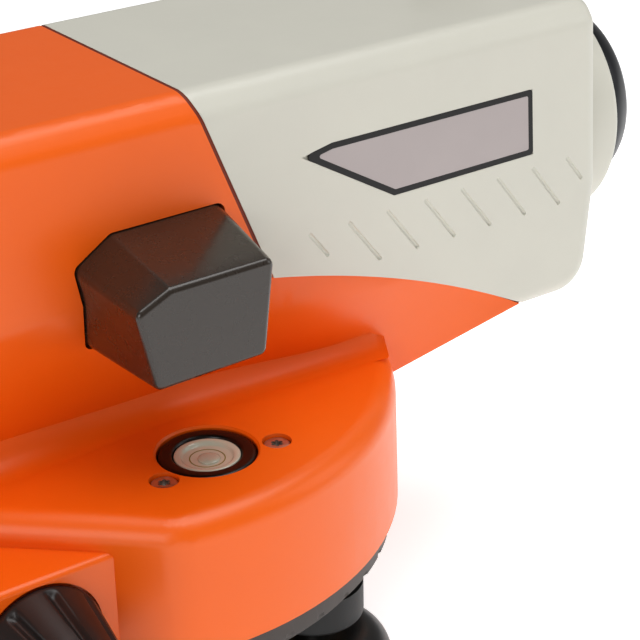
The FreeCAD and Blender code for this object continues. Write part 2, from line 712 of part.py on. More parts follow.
def cover_outside(inset):
    """Objective cover's form: a box with a round collar, moved inwards by inset."""
    form = body_solid(front_station_pair(), inset)
    if inset:
        return form
    form = form.removeSplitter().cut(front_lean(0.0))
    low = FRONT_LEAN[1][0]
    form = rounded(form, SHOULDER_R, lambda e: middle(e).z > SHOULDER_Z - 1 and e.BoundBox.XLength > 10)
    form = rounded(form, 8.0, lambda e: e.BoundBox.XMin > low - 1 and middle(e).z < 66 and e.BoundBox.YLength > 40)
    form = rounded(form, 4.0, lambda e: e.BoundBox.XMin > low - 1 and (middle(e).z > 89 or e.BoundBox.ZLength > 5))
    collar = rod(COLLAR_R, BODY_X1 - 6, COLLAR_X1, X_AXIS, (0.0, AXIS_Z))
    collar = rounded(collar, COLLAR_EDGE, lambda e: e.BoundBox.XMin > COLLAR_X1 - EPS)
    return fuse([form, collar])


def front_lean(shift):
    """Wedge outside the leaning lower part of the cover's front, moved back by shift."""
    (x0, z0), (x1, z1) = FRONT_LEAN
    run = (x0 - x1) / (z0 - z1)
    points = [(x0 - shift, z0), (x1 - shift - run * 5, z1 - 5), (x0 + 20, z1 - 5), (x0 + 20, z0)]
    return side_prism(points, -FAR / 2, FAR / 2)


def front_cover():
    """Light-coloured shell over the objective end."""
    shell = cover_outside(0.0).common(arch_side(SEAM_GAP))
    hollow = body_solid([(-20.0, BELLY_HALF, COVER_Z0), (BODY_X1 - COVER_WALL, BELLY_HALF, COVER_Z0)], COVER_WALL)
    hollow = hollow.cut(front_lean(COVER_WALL))
    cuts = [hollow, rod(TUBE_R + 0.1, 60, FAR, X_AXIS, (0.0, AXIS_Z))]
    for side in SIDES:
        cuts += grooves(side)
        cuts.append(plate_prism(side, 0.5))
    cuts.append(block(SIGHT_X0 - 0.2, SIGHT_X1 + 0.2, -3.0, 3.0, ROOF_Z - 0.6, ROOF_Z + 9))
    for spot in COVER_SCREWS:
        cuts.append(rod(1.6, 0, AXIS_Z - 20, at=spot))
        cuts.append(cone(2.9, 1.5, COVER_Z0 - EPS, COVER_Z0 + 1.4, at=spot))
    return cut(shell, cuts)


def cover_screws():
    """Two countersunk screws that hold the cover to the casting's tongue."""
    return Part.makeCompound([countersunk(spot, COVER_Z0 + 0.1, 2.7, 1.45, 6.5) for spot in COVER_SCREWS])


def grooves(side):
    """Eight slanted grooves below the name plate; the first and the last are shorter."""
    tools = []
    for index in range(8):
        share = 0.55 if index in (0, 7) else 1.0
        x = 34.6 + index * 9.04
        start = V(x, -31.1, 94.75)
        run = V(6.58, -0.35, -8.72) * share
        tool = Part.makeCylinder(GROOVE_R, run.Length, start, run)
        tool = tool.fuse(Part.makeSphere(GROOVE_R, start)).fuse(Part.makeSphere(GROOVE_R, start + run))
        tools.append(tool if side < 0 else mirrored(tool))
    return tools


PLATE = ((33.7, 109.9), (40.5, 111.2), (88.8, 111.2), (88.8, 97.9), (54.2, 97.7))


def plate_prism(side, depth):
    """Pointed name plate as a slab that follows the tilted side, sunk by depth."""
    tilt = math.degrees(math.atan((CREASE_HALF - SHOULDER_HALF) / (SHOULDER_Z - CREASE_Z)))
    slab = side_prism(PLATE, 0.0, 1.2)
    slab.rotate(V(0, 0, PLATE[-1][1]), X_AXIS, -tilt)
    wall = CREASE_HALF - (PLATE[-1][1] - CREASE_Z) * math.tan(math.radians(tilt))
    slab.translate(V(0, -wall - 1.2 + depth, 0))
    return slab if side < 0 else mirrored(slab)


def nameplates():
    """Blank name plates, one on each side."""
    plates = []
    for side in SIDES:
        limit = body_solid(front_station_pair(), 0.15)
        plates.append(plate_prism(side, 0.5).common(limit))
    return Part.makeCompound(plates)


def cover_gasket():
    """Dark seal in the seam between the casting and the cover."""
    rear = rear_stations()
    outer = body_solid(rear, 0.2).removeSplitter()
    outer = rounded(outer, SHOULDER_R, lambda e: middle(e).z > SHOULDER_Z - 1.5 and e.BoundBox.XLength > 1)
    outer = outer.common(arch_side(EPS * 5))
    outer = outer.cut(arch_side(SEAM_GAP - EPS * 5))
    return cut(outer, [body_solid(rear, 2.0), block(ARCH_MID[0], FAR, -12, 12, 0, ROOM_Z + WALL)])


def top_sight():
    """Peep sight on the roof."""
    bar = block(SIGHT_X0, SIGHT_X1, -2.8, 2.8, ROOF_Z - 0.5, ROOF_Z + 6)
    slot = block(SIGHT_X0 - 1, SIGHT_X1 + 1, -1.1, 1.1, ROOF_Z + 1.5, ROOF_Z + 5)
    return rounded(bar, 0.8, lambda e: e.BoundBox.ZMin > ROOF_Z + 5.9).cut(slot)


# ---- optics ----


def telescope_tube():
    """Inner tube with a slot for the focusing rack."""
    tube_ = tube(TUBE_R, TUBE_BORE, TUBE_X0, TUBE_X1, X_AXIS, (0.0, AXIS_Z))
    slot = block(TUBE_X0 - 1, 30.0, 10.0, 30.0, AXIS_Z - 5, AXIS_Z + 6.2)
    return tube_.cut(slot)


def objective_ring():
    """Black retaining ring of the objective."""
    at = (0.0, AXIS_Z)
    neck = tube(TUBE_BORE, 16.5, 112.0, COLLAR_X1, X_AXIS, at)
    rim = turned([(16.5, COLLAR_X1), (21.6, COLLAR_X1), (21.2, COLLAR_X1 + 3.2), (19.6, COLLAR_X1 + 6.4),
                  (18.0, COLLAR_X1 + 8.2), (17.0, COLLAR_X1 + 8.4), (16.5, COLLAR_X1 + 8.0)], X_AXIS, at)
    return fuse([neck, rim])


def lens(radius, x0, x1, bulge, z):
    """A biconvex lens with a cylindrical edge from x0 to x1."""
    curve = (radius ** 2 + bulge ** 2) / (2 * bulge)
    disc = rod(radius, x0 - bulge - EPS, x1 + bulge + EPS, X_AXIS, (0.0, z))
    disc = disc.common(Part.makeSphere(curve, V(x1 + bulge - curve, 0, z)))
    return disc.common(Part.makeSphere(curve, V(x0 - bulge + curve, 0, z)))


def objective_lens():
    """Front lens group."""
    return lens(TUBE_BORE, 104.0, 110.0, 1.6, AXIS_Z)


def focusing_cell():
    """Sliding cell of the focusing lens."""
    x0, x1 = FOCUS_X - CELL_HALF, FOCUS_X + CELL_HALF
    return tube(CELL_R, 15.0, x0, x1, X_AXIS, (0.0, AXIS_Z))


def focusing_lens():
    """Negative focusing lens, drawn as a plain disc with hollow faces."""
    disc = rod(15.0, FOCUS_X - 3, FOCUS_X + 3, X_AXIS, (0.0, AXIS_Z))
    hollow = 60.0
    for sign in SIDES:
        disc = disc.cut(Part.makeSphere(hollow, V(FOCUS_X + sign * (hollow + 1.0), 0, AXIS_Z)))
    return disc


def focus_rack():
    """Rack on the focusing cell."""
    bar = block(FOCUS_X - 8.5, FOCUS_X + 9, 17.6, 23.8, AXIS_Z - 3.6, AXIS_Z - 1.1)
    teeth = []
    for index in range(11):
        x = FOCUS_X - 7.9 + index * 1.5
        teeth.append(block(x, x + 0.8, 20.8, 23.8, AXIS_Z - 1.1, AXIS_Z - 0.5))
    return fuse([bar.cut(rod(CELL_R, -60, 60, X_AXIS, (0.0, AXIS_Z)))] + teeth)


def focus_pinion():
    """Pinion and shaft of the focusing knob."""
    count = 10
    points = []
    for index in range(count):
        for share, radius in ((0.0, 1.9), (0.3, 2.5), (0.5, 2.5), (0.8, 1.9)):
            angle = math.radians(TURN * (index + share) / count)
            points.append(V(FOCUS_X + radius * math.cos(angle), 21.0, FOCUS_Z + radius * math.sin(angle)))
    gear = face_of(points).extrude(V(0, 3.5, 0))
    shaft = rod(4.0, 24.2, FOCUS_Y0 + 2, Y_AXIS, (FOCUS_X, FOCUS_Z))
    return fuse([gear, shaft])


def focus_knob():
    """Large focusing knob."""
    y1 = FOCUS_Y1
    profile = [(0, FOCUS_Y0 + 2), (4.0, FOCUS_Y0 + 2), (4.0, FOCUS_Y0), (FOCUS_R - 1, FOCUS_Y0)]
    profile += [(FOCUS_R, FOCUS_Y0 + 1), (FOCUS_R - 0.6, y1 - 1.6), (FOCUS_R - 2.2, y1), (0, y1)]
    knob = turned(profile, Y_AXIS, (FOCUS_X, FOCUS_Z))
    ribs = 24
    for index in range(ribs):
        angle = math.radians(TURN * index / ribs)
        reach = FOCUS_R + 0.5
        spot = (FOCUS_X + reach * math.cos(angle), FOCUS_Z + reach * math.sin(angle))
        knob = knob.cut(rod(1.1, FOCUS_Y0 + 2.5, FOCUS_Y1 - 2.5, Y_AXIS, spot))
    return knob


def eyepiece_mount():
    """Tube in the rear wall that carries the eyepiece."""
    at = (0.0, AXIS_Z)
    flange = tube(EYE_TUBE_R + 3, EYE_BORE, BODY_X0 - 2.5, BODY_X0, X_AXIS, at)
    body = tube(EYE_TUBE_R, EYE_BORE, EYE_END, BODY_X0 + 6, X_AXIS, at)
    return fuse([flange, body])


def adjusting_cap():
    """Screw cap over the cross hair's adjusting screw."""
    cap = turned([(0, BODY_X0 - 2.6), (3.2, BODY_X0 - 2.6), (3.8, BODY_X0 - 2.0), (3.8, BODY_X0),
                  (1.45, BODY_X0), (1.45, BODY_X0 + 3), (0, BODY_X0 + 3)], X_AXIS, CAP_PLACE)
    return cap.cut(block(BODY_X0 - 4, BODY_X0 - 1.8, -3.0, 3.0, CAP_PLACE[1] - 0.4, CAP_PLACE[1] + 0.4))


def eyepiece_ring():
    """Ribbed dioptre ring."""
    at = (0.0, AXIS_Z)
    ring = turned([(EYE_TUBE_R + 0.3, -69.0), (DIOPTRE_R, -69.0), (DIOPTRE_R, -77.5), (DIOPTRE_R - 1, -78.6),
                   (EYE_TUBE_R + 0.3, -78.6)], X_AXIS, at)
    ribs = 36
    for index in range(ribs):
        spot = polar(DIOPTRE_R + 0.3, TURN * index / ribs)
        ring = ring.cut(rod(0.8, -76.5, -70.0, X_AXIS, (spot[0], AXIS_Z + spot[1])))
    return ring


def ocular_cell():
    """Sliding cell of the eyepiece lenses."""
    at = (0.0, AXIS_Z)
    tube_ = tube(OCULAR_R, 8.5, -83.0, -64.5, X_AXIS, at)
    head = tube(13.0, 8.5, -85.5, -82.0, X_AXIS, at)
    return fuse([tube_, head])


def ocular_lenses():
    """Two eyepiece lenses."""
    return Part.makeCompound([lens(8.5, -82.0, -79.0, 1.0, AXIS_Z), lens(8.5, -69.0, -66.0, 1.0, AXIS_Z)])


def eye_cup():
    """Rubber cup around the eyepiece."""
    profile = [(9.6, -85.5), (13.0, -85.5), (13.0, -82.5), (CUP_R, -82.5), (CUP_R - 0.4, CUP_X + 1.5)]
    profile += [(CUP_R - 2, CUP_X), (CUP_R - 3.4, CUP_X)]
    return turned(profile, X_AXIS, (0.0, AXIS_Z))


def reticle():
    """Glass disc with the cross hair."""
    return rod(7.5, -58.5, -57.0, X_AXIS, (0.0, AXIS_Z))


def reticle_ring():
    """Mount of the reticle in the eyepiece tube."""
    ring = tube(EYE_BORE, 7.5, -61.5, -56.0, X_AXIS, (0.0, AXIS_Z))
    return ring


# ---- compensator ----


def compensator_frame():
    """Bracket that carries the fixed prisms and the suspension."""
    floor = ROOM_Z + WALL
    parts = [block(-46.0, -16.0, -18.5, 18.5, floor, 74.5)]
    for side in SIDES:
        y0, y1 = sorted((side * 16.5, side * 18.5))
        parts.append(block(-46.0, -16.0, y0, y1, floor, 119.0))
    parts.append(block(-34.0, -26.0, -18.5, 18.5, 117.0, 119.0))
    return fuse(parts)


def fixed_prisms():
    """Two glass prisms on the bracket, before and behind the pendulum."""
    front = side_prism([(-24.0, 84.0), (-16.5, 84.0), (-16.5, 105.0), (-24.0, 97.5)], -16.5, 16.5)
    rear = side_prism([(-38.0, 84.0), (-45.5, 84.0), (-45.5, 105.0), (-38.0, 97.5)], -16.5, 16.5)
    return Part.makeCompound([front, rear])


def suspension_clamps():
    """Upper clamps of the tapes that hang the pendulum."""
    clamps = [block(-33.0, -27.0, y - 1.0, y + 1.0, SWING_Z - 1.5, 117.0) for y in (-10.0, 10.0)]
    return Part.makeCompound(clamps)


def pendulum_frame():
    """Swinging frame, hung at its top, with the moving mirror's seat and the damper arm."""
    parts = [block(-33.0, -27.0, y - 0.8, y + 0.8, 82.0, SWING_Z - 2) for y in (-12.0, 12.0)]
    parts.append(block(-33.0, -27.0, -12.8, 12.8, 80.0, 84.0))
    parts.append(block(-33.0, -27.0, -12.8, 12.8, SWING_Z - 4, SWING_Z - 2))
    return fuse(parts)


def pendulum_prism():
    """Moving prism of the compensator."""
    return side_prism([(-35.0, 84.0), (-25.0, 84.0), (-28.0, 92.0), (-32.0, 92.0)], -11.0, 11.0)


def damper_plate():
    """Copper plate that swings between the magnets."""
    return block(-33.0, -27.0, -8.0, 8.0, 77.5, 80.0)


def damper_magnets():
    """Magnets of the air-gap damper."""
    return Part.makeCompound([block(-34.0, -26.0, y - 1.5, y + 1.5, 74.5, 79.5) for y in (-11.0, 11.0)])


# ---- bubble level ----


def prism_housing():
    """Dark five-sided block over the bubble."""
    block_ = prism_loft(0.0, BLOCK_ROOT_Y, BLOCK_FACE_Y)
    block_ = rounded(block_, BLOCK_ROUND, lambda e: e.BoundBox.YLength > 5)
    block_ = rounded(block_, BLOCK_FRONT_ROUND, lambda e: e.BoundBox.YMax < BLOCK_FACE_Y + EPS)
    room = prism_loft(-BLOCK_WALL * 1.5, BLOCK_ROOT_Y + 1, BLOCK_FACE_Y + BLOCK_WALL)
    window = rod(7.0, 80.0, 90.0, at=(LEVEL_X - 2, LEVEL_Y + 0.5))
    return cut(block_, [room, window])


def bubble_prism():
    """Prism that turns the view of the bubble towards the eyepiece."""
    return side_prism([(-8.0, 88.4), (6.0, 88.4), (-8.0, 97.8)], -46.6, -34.4)


def level_ring():
    """Black holder of the bubble vial."""
    holder = tube(LEVEL_R, VIAL_R, LEVEL_POCKET_Z + 3.2, LEVEL_TOP, at=(LEVEL_X, LEVEL_Y))
    return rounded(holder, 0.6, lambda e: e.BoundBox.ZMin > LEVEL_TOP - EPS)


def level_vial():
    """Glass bubble vial with a domed top."""
    low = rod(VIAL_R, 57.5, LEVEL_TOP - 1.0, at=(LEVEL_X, LEVEL_Y))
    dome = Part.makeSphere(26.0, V(LEVEL_X, LEVEL_Y, LEVEL_TOP - 26.1))
    return fuse([low, dome.common(rod(VIAL_R, 58.0, LEVEL_TOP, at=(LEVEL_X, LEVEL_Y)))])


def level_base():
    """Metal seat under the vial."""
    return rod(VIAL_R, LEVEL_POCKET_Z + 3.2, 57.5, at=(LEVEL_X, LEVEL_Y))


def level_spring():
    """Spring washer under the bubble holder."""
    return tube(8.0, 5.0, LEVEL_POCKET_Z, LEVEL_POCKET_Z + 3.2, at=(LEVEL_X, LEVEL_Y))


def level_screws():
    """Two star-socket adjusting screws."""
    screws = []
    for x, y in LEVEL_SCREWS:
        head = rod(LEVEL_SCREW_R, LEVEL_SCREW_TOP - 2.2, LEVEL_SCREW_TOP, at=(x, y))
        head = rounded(head, 0.5, lambda e: e.BoundBox.ZMin > LEVEL_SCREW_TOP - EPS)
        screw = fuse([head, rod(1.15, 55.0, LEVEL_SCREW_TOP - 1, at=(x, y))])
        socket = [rod(0.75, LEVEL_SCREW_TOP - 1, LEVEL_SCREW_TOP + 1, at=(x, y))]
        for index in range(6):
            dx, dy = polar(0.85, TURN * index / 6)
            socket.append(rod(0.32, LEVEL_SCREW_TOP - 1, LEVEL_SCREW_TOP + 1, at=(x + dx, y + dy)))
        screws.append(cut(screw, socket))
    return Part.makeCompound(screws)


def main():
    """Build and save every piece."""
    os.makedirs("parts", exist_ok=True)
    makers = [base_plate, foot_seat, spring_plate, spring_plate_screws, tribrach, foot_bushes, axis_spindle]
    makers += [horizontal_circle, worm_wheel, clutch_spring, worm_shaft, main_housing, bottom_cover]
    makers += [bottom_cover_screws, axis_bush, cover_screws, adjusting_cap]
    makers += [index_window, front_cover, nameplates, cover_gasket, top_sight, telescope_tube, objective_ring]
    makers += [objective_lens, focusing_cell, focusing_lens, focus_rack, focus_pinion, focus_knob]
    makers += [eyepiece_mount, eyepiece_ring, ocular_cell, ocular_lenses, eye_cup, reticle, reticle_ring]
    makers += [compensator_frame, fixed_prisms, suspension_clamps, pendulum_frame, pendulum_prism, damper_plate]
    makers += [damper_magnets, prism_housing, bubble_prism, level_ring, level_vial, level_base, level_spring]
    makers.append(level_screws)
    for maker in makers:
        save(maker.__name__, maker())
    for name, angle in FOOT_ANGLES.items():
        save("foot_spindle_" + name, foot_spindle(angle))
        save("foot_knob_" + name, foot_knob(angle))
    save("tangent_knob_right", tangent_knob(-1))
    save("tangent_knob_left", tangent_knob(1))


main()
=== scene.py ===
"""Looks of an automatic level.

A painted casting, a bubble with its prism, slow-motion knobs and a levelling base.
"""
from __future__ import annotations

import logging
import math
from dataclasses import dataclass, field
from enum import Enum
from typing import Callable, Iterator, Optional, Sequence

import bpy
from mathutils import Matrix, Vector


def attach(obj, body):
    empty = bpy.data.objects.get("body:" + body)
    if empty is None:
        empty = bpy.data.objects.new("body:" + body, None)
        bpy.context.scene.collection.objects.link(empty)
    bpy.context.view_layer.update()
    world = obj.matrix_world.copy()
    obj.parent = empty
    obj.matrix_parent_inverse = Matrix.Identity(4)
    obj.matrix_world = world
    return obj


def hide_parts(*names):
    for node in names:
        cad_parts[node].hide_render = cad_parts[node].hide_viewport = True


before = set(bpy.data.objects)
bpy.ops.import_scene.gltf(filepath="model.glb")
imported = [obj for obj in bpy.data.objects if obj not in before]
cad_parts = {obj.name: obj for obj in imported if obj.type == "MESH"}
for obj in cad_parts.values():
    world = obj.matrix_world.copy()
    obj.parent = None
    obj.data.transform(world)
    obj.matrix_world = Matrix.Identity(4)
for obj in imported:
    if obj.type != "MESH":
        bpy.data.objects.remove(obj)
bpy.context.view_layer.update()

LOG = logging.getLogger("level")
MM = 0.001
TURN = 2.0 * math.pi
NEAR = 0.02  # a point this close to a station, in millimetres, lies on it
SAME = 0.005  # points this close, in millimetres, are one corner
DRAWN_WELD = 0.004  # doubles in a drawn mesh, in millimetres
CAD_WELD = 0.002  # doubles in a CAD mesh, in millimetres
CAD_FLAT = 0.4  # CAD triangles within this many degrees share one face
WORN_MM = 3.1  # the distance between smoother and rougher spots of a finish
WHITE = (1.0, 1.0, 1.0, 1.0)
Flat = tuple[float, float]
Outline = Sequence[Flat]
Point = Sequence[float]
Test = Callable[[Vector], bool]


class Axis(Enum):
    """A direction of the frame that shapes are turned about."""

    X = (1.0, 0.0, 0.0)
    Y = (0.0, 1.0, 0.0)
    Z = (0.0, 0.0, 1.0)

    @property
    def vector(self) -> Vector:
        """The direction as a vector."""
        return Vector(self.value)

    @property
    def across(self) -> Vector:
        """The direction that a turned profile's radius is drawn in."""
        return Vector((1.0, 0.0, 0.0)) if self is Axis.Z else Vector((0.0, 0.0, 1.0))


# ---- the modelling bench -------------------------------------------------------------------------


def only(obj: bpy.types.Object) -> bpy.types.Object:
    """Makes one object the active and only selected one."""
    if bpy.context.object and bpy.context.object.mode != "OBJECT":
        bpy.ops.object.mode_set(mode="OBJECT")
    bpy.ops.object.select_all(action="DESELECT")
    obj.select_set(True)
    bpy.context.view_layer.objects.active = obj
    return obj


def pick(obj: bpy.types.Object, test: Test) -> None:
    """Selects, in edit mode, the points of a mesh that a test on their place picks.

    Args:
        obj: The mesh object, which becomes the active one.
        test: Takes a point in metres and says whether it is wanted.
    """
    only(obj)
    mesh = obj.data
    mesh.polygons.foreach_set("select", [False] * len(mesh.polygons))
    mesh.edges.foreach_set("select", [False] * len(mesh.edges))
    mesh.vertices.foreach_set("select", [test(v.co) for v in mesh.vertices])
    bpy.context.tool_settings.mesh_select_mode = (True, False, False)
    bpy.ops.object.mode_set(mode="EDIT")


def done(obj: bpy.types.Object) -> bpy.types.Object:
    """Goes back to object mode."""
    bpy.ops.object.mode_set(mode="OBJECT")
    return obj


def pen(name: str, points: Sequence[Point]) -> bpy.types.Object:
    """Draws an outline point by point, as a chain of edges.

    Args:
        name: The new object's name.
        points: The chain's points in millimetres.

    Returns:
        The object, in edit mode with all of it selected.
    """
    places = [Vector(p) * MM for p in points]
    bpy.context.tool_settings.mesh_select_mode = (True, False, False)
    bpy.ops.object.select_all(action="DESELECT")
    bpy.ops.mesh.primitive_plane_add(size=MM)
    obj = bpy.context.object
    obj.name = name
    bpy.ops.object.mode_set(mode="EDIT")
    bpy.ops.mesh.select_all(action="SELECT")
    bpy.ops.mesh.merge(type="CENTER")
    bpy.ops.transform.translate(value=places[0])
    for here, there in zip(places, places[1:]):
        bpy.ops.mesh.extrude_region_move(TRANSFORM_OT_translate={"value": there - here})
    bpy.ops.mesh.select_all(action="SELECT")
    return obj


def closed_normals() -> None:
    """Merges doubles of the mesh in edit mode and points its faces outwards."""
    bpy.ops.mesh.select_all(action="SELECT")
    bpy.ops.mesh.remove_doubles(threshold=DRAWN_WELD * MM)
    bpy.ops.mesh.normals_make_consistent(inside=False)


def in_turn(points: Outline) -> Iterator[tuple[Flat, Flat, Flat]]:
    """Goes round a closed outline: each corner with the one before it and the one after it."""
    ring = list(points)
    return zip(ring[-1:] + ring[:-1], ring, ring[1:] + ring[:1])


def softened(points: Outline, radius: float, steps: int = 4) -> list[Flat]:
    """Rounds the corners of a flat closed outline.

    Args:
        points: The outline's corners in millimetres.
        radius: The corners' radius in millimetres.
        steps: The number of straight steps that a corner is drawn with.

    Returns:
        The outline's points, steps + 1 for every corner.
    """
    soft = []
    for before, here, after in in_turn(points):
        corner = Vector(here)
        back = (Vector(before) - corner).normalized()
        ahead = (Vector(after) - corner).normalized()
        half = back.angle(ahead) / 2.0
        middle = corner + (back + ahead).normalized() * (radius / math.sin(half))
        first = corner + back * (radius / math.tan(half)) - middle
        last = corner + ahead * (radius / math.tan(half)) - middle
        for step in range(steps + 1):
            spoke = first.lerp(last, step / steps).normalized() * radius
            soft.append(tuple(middle + spoke))
    return soft


def slab(name: str, points: Sequence[Point], push: Point) -> bpy.types.Object:
    """A flat outline pushed along a vector, in millimetres."""
    obj = pen(name, points)
    bpy.ops.mesh.edge_face_add()
    bpy.ops.mesh.extrude_region_move(TRANSFORM_OT_translate={"value": Vector(push) * MM})
    closed_normals()
    return done(obj)


def lathe(name: str, profile: Outline, axis: Axis, centre: Point, steps: int = 96,
          ring: bool = False) -> bpy.types.Object:
    """Spins a profile about an axis.

    Args:
        name: The new object's name.
        profile: Pairs of radius and distance along the axis, in millimetres.
        axis: The axis to spin about.
        centre: A point on the axis, in millimetres.
        steps: The number of segments round the axis.
        ring: Whether the profile closes on itself, as a tube's does.

    Returns:
        The closed mesh, in object mode.
    """
    chain = [Vector(centre) + axis.across * r + axis.vector * s for r, s in profile]
    obj = pen(name, chain + chain[:1] if ring else chain)
    bpy.ops.mesh.spin(steps=steps, angle=TURN, center=Vector(centre) * MM, axis=axis.vector)
    closed_normals()
    return done(obj)


def sink(obj: bpy.types.Object, test: Test, axis: Axis, centre: Point, share: float) -> None:
    """Draws the points that a test picks towards an axis, to a share of their distance from it."""
    pick(obj, test)
    scale = [1.0 if axis.vector[i] else share for i in range(3)]
    bpy.ops.transform.resize(value=scale, center_override=Vector(centre) * MM)
    done(obj)


def column(co: Vector, axis: Axis, centre: Point, count: int, steps: int, phase: int) -> int:
    """How many segments a point of a turned knob is from the middle of its flute.

    Args:
        co: The point in metres.
        axis: The axis that the knob is turned about.
        centre: A point on the axis, in millimetres.
        count: The number of segments round the knob.
        steps: The number of segments of one flute and its rib.
        phase: The segment that the first flute starts at.

    Returns:
        The number of segments, never negative.
    """
    x, y, z = (co[i] / MM - centre[i] for i in range(3))
    angle = math.atan2(x, z) if axis is Axis.Y else math.atan2(y, x)
    at = (round(angle / TURN * count) - phase) % steps
    return min(at, steps - at)


def fluted(obj: bpy.types.Object, axis: Axis, centre: Point, split: tuple[int, int, int],
           depths: Sequence[float], bite: float, stations: Sequence[tuple[float, float, float]],
           core: float) -> bpy.types.Object:
    """Sinks long flutes into a turned knob.

    Args:
        obj: The knob.
        axis: The axis that it is turned about.
        centre: A point on the axis, in millimetres.
        split: The segments round the knob, those of one flute and its rib, and the first one's.
        depths: The share of the depth for each segment from a flute's middle outwards.
        bite: The depth in millimetres.
        stations: Places along the axis, each with its share of the depth and the knob's radius.
        core: Points nearer to the axis than this, in millimetres, stay where they are.

    Returns:
        The knob.
    """
    along = {Axis.X: 0, Axis.Y: 1, Axis.Z: 2}[axis]
    rest = [i for i in range(3) if i != along]

    def wanted(co: Vector, spot: float, offset: int) -> bool:
        out = math.hypot(*(co[i] / MM - centre[i] for i in rest))
        return (abs(co[along] / MM - spot) < NEAR and out >= core
                and column(co, axis, centre, *split) == offset)

    for offset, deep in enumerate(depths):
        for spot, reach, radius in stations:
            sink(obj, lambda co, spot=spot, offset=offset: wanted(co, spot, offset), axis, centre,
                 1.0 - deep * reach * bite / radius)
    return obj


def modified(obj: bpy.types.Object, kind: str, **settings: object) -> bpy.types.Object:
    """Adds a modifier, sets it and applies it."""
    only(obj)
    bpy.ops.object.modifier_add(type=kind)
    modifier = obj.modifiers[-1]
    for key, value in settings.items():
        setattr(modifier, key, value)
    bpy.ops.object.modifier_apply(modifier=modifier.name)
    return obj


def edged(obj: bpy.types.Object, width: float, segments: int = 2,
          angle: float = 30.0) -> bpy.types.Object:
    """Rounds every edge sharper than an angle by a width in millimetres."""
    return modified(obj, "BEVEL", width=width * MM, segments=segments, limit_method="ANGLE",
                    angle_limit=math.radians(angle), miter_outer="MITER_ARC",
                    use_clamp_overlap=True)


def carved(obj: bpy.types.Object, tools: Sequence[bpy.types.Object]) -> bpy.types.Object:
    """Takes tools away from a shape and throws the tools away."""
    for tool in tools:
        modified(obj, "BOOLEAN", object=tool, operation="DIFFERENCE", solver="EXACT")
        bpy.data.objects.remove(tool)
    return obj


def smooth(obj: bpy.types.Object, angle: float = 32.0) -> bpy.types.Object:
    """Shades a piece smooth below an angle, with flat faces kept flat."""
    only(obj)
    bpy.ops.object.shade_smooth_by_angle(angle=math.radians(angle))
    return modified(obj, "WEIGHTED_NORMAL", keep_sharp=True, weight=60)


def from_node(node: str, name: str, tidy: bool = True) -> bpy.types.Object:
    """A merged copy of a CAD node, ready for modelling.

    Args:
        node: The CAD node's name.
        name: The copy's name.
        tidy: Whether flat groups of triangles become single faces.

    Returns:
        The copy, in object mode.
    """
    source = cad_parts[node]
    copy = bpy.data.objects.new(name, source.data.copy())
    bpy.context.scene.collection.objects.link(copy)
    only(copy)
    bpy.ops.object.mode_set(mode="EDIT")
    bpy.ops.mesh.select_all(action="SELECT")
    bpy.ops.mesh.remove_doubles(threshold=CAD_WELD * MM)
    if tidy:
        bpy.ops.mesh.dissolve_limited(angle_limit=math.radians(CAD_FLAT))
    return done(copy)


# ---- finishes ------------------------------------------------------------------------------------


def linear(colour: str) -> tuple[float, float, float, float]:
    """Turns an sRGB hex colour into linear RGBA."""
    parts = [int(colour[i:i + 2], 16) / 255.0 for i in (0, 2, 4)]
    return (*[c / 12.92 if c <= 0.04045 else ((c + 0.055) / 1.055) ** 2.4 for c in parts], 1.0)


def add(tree: bpy.types.NodeTree, kind: str, values: Optional[dict] = None,
        links: Optional[dict] = None, **settings: object) -> bpy.types.Node:
    """Adds a shader node.

    Args:
        tree: The node tree.
        kind: The node's type.
        values: Socket values by socket name or number.
        links: Sources by socket name or number.
        **settings: The node's own settings.

    Returns:
        The node.
    """
    made = tree.nodes.new(kind)
    for key, value in settings.items():
        setattr(made, key, value)
    for key, value in (values or {}).items():
        made.inputs[key].default_value = value
    for key, source in (links or {}).items():
        tree.links.new(source, made.inputs[key])
    return made


def noise(tree: bpy.types.NodeTree, place: bpy.types.NodeSocket, size: float, detail: float,
          **more: float) -> bpy.types.NodeSocket:
    """Noise between 0 and 1, of a size in millimetres."""
    values = {"Scale": 1.0 / (size * MM), "Detail": detail, **more}
    return add(tree, "ShaderNodeTexNoise", values, {"Vector": place}).outputs["Fac"]


def raised(tree: bpy.types.NodeTree, pattern: bpy.types.NodeSocket, deep: float,
           under: bpy.types.NodeSocket) -> bpy.types.NodeSocket:
    """A height in metres: a pattern that is some millimetres deep, on top of another height."""
    return add(tree, "ShaderNodeMath", {1: deep * MM}, {0: pattern, 2: under},
               operation="MULTIPLY_ADD").outputs[0]


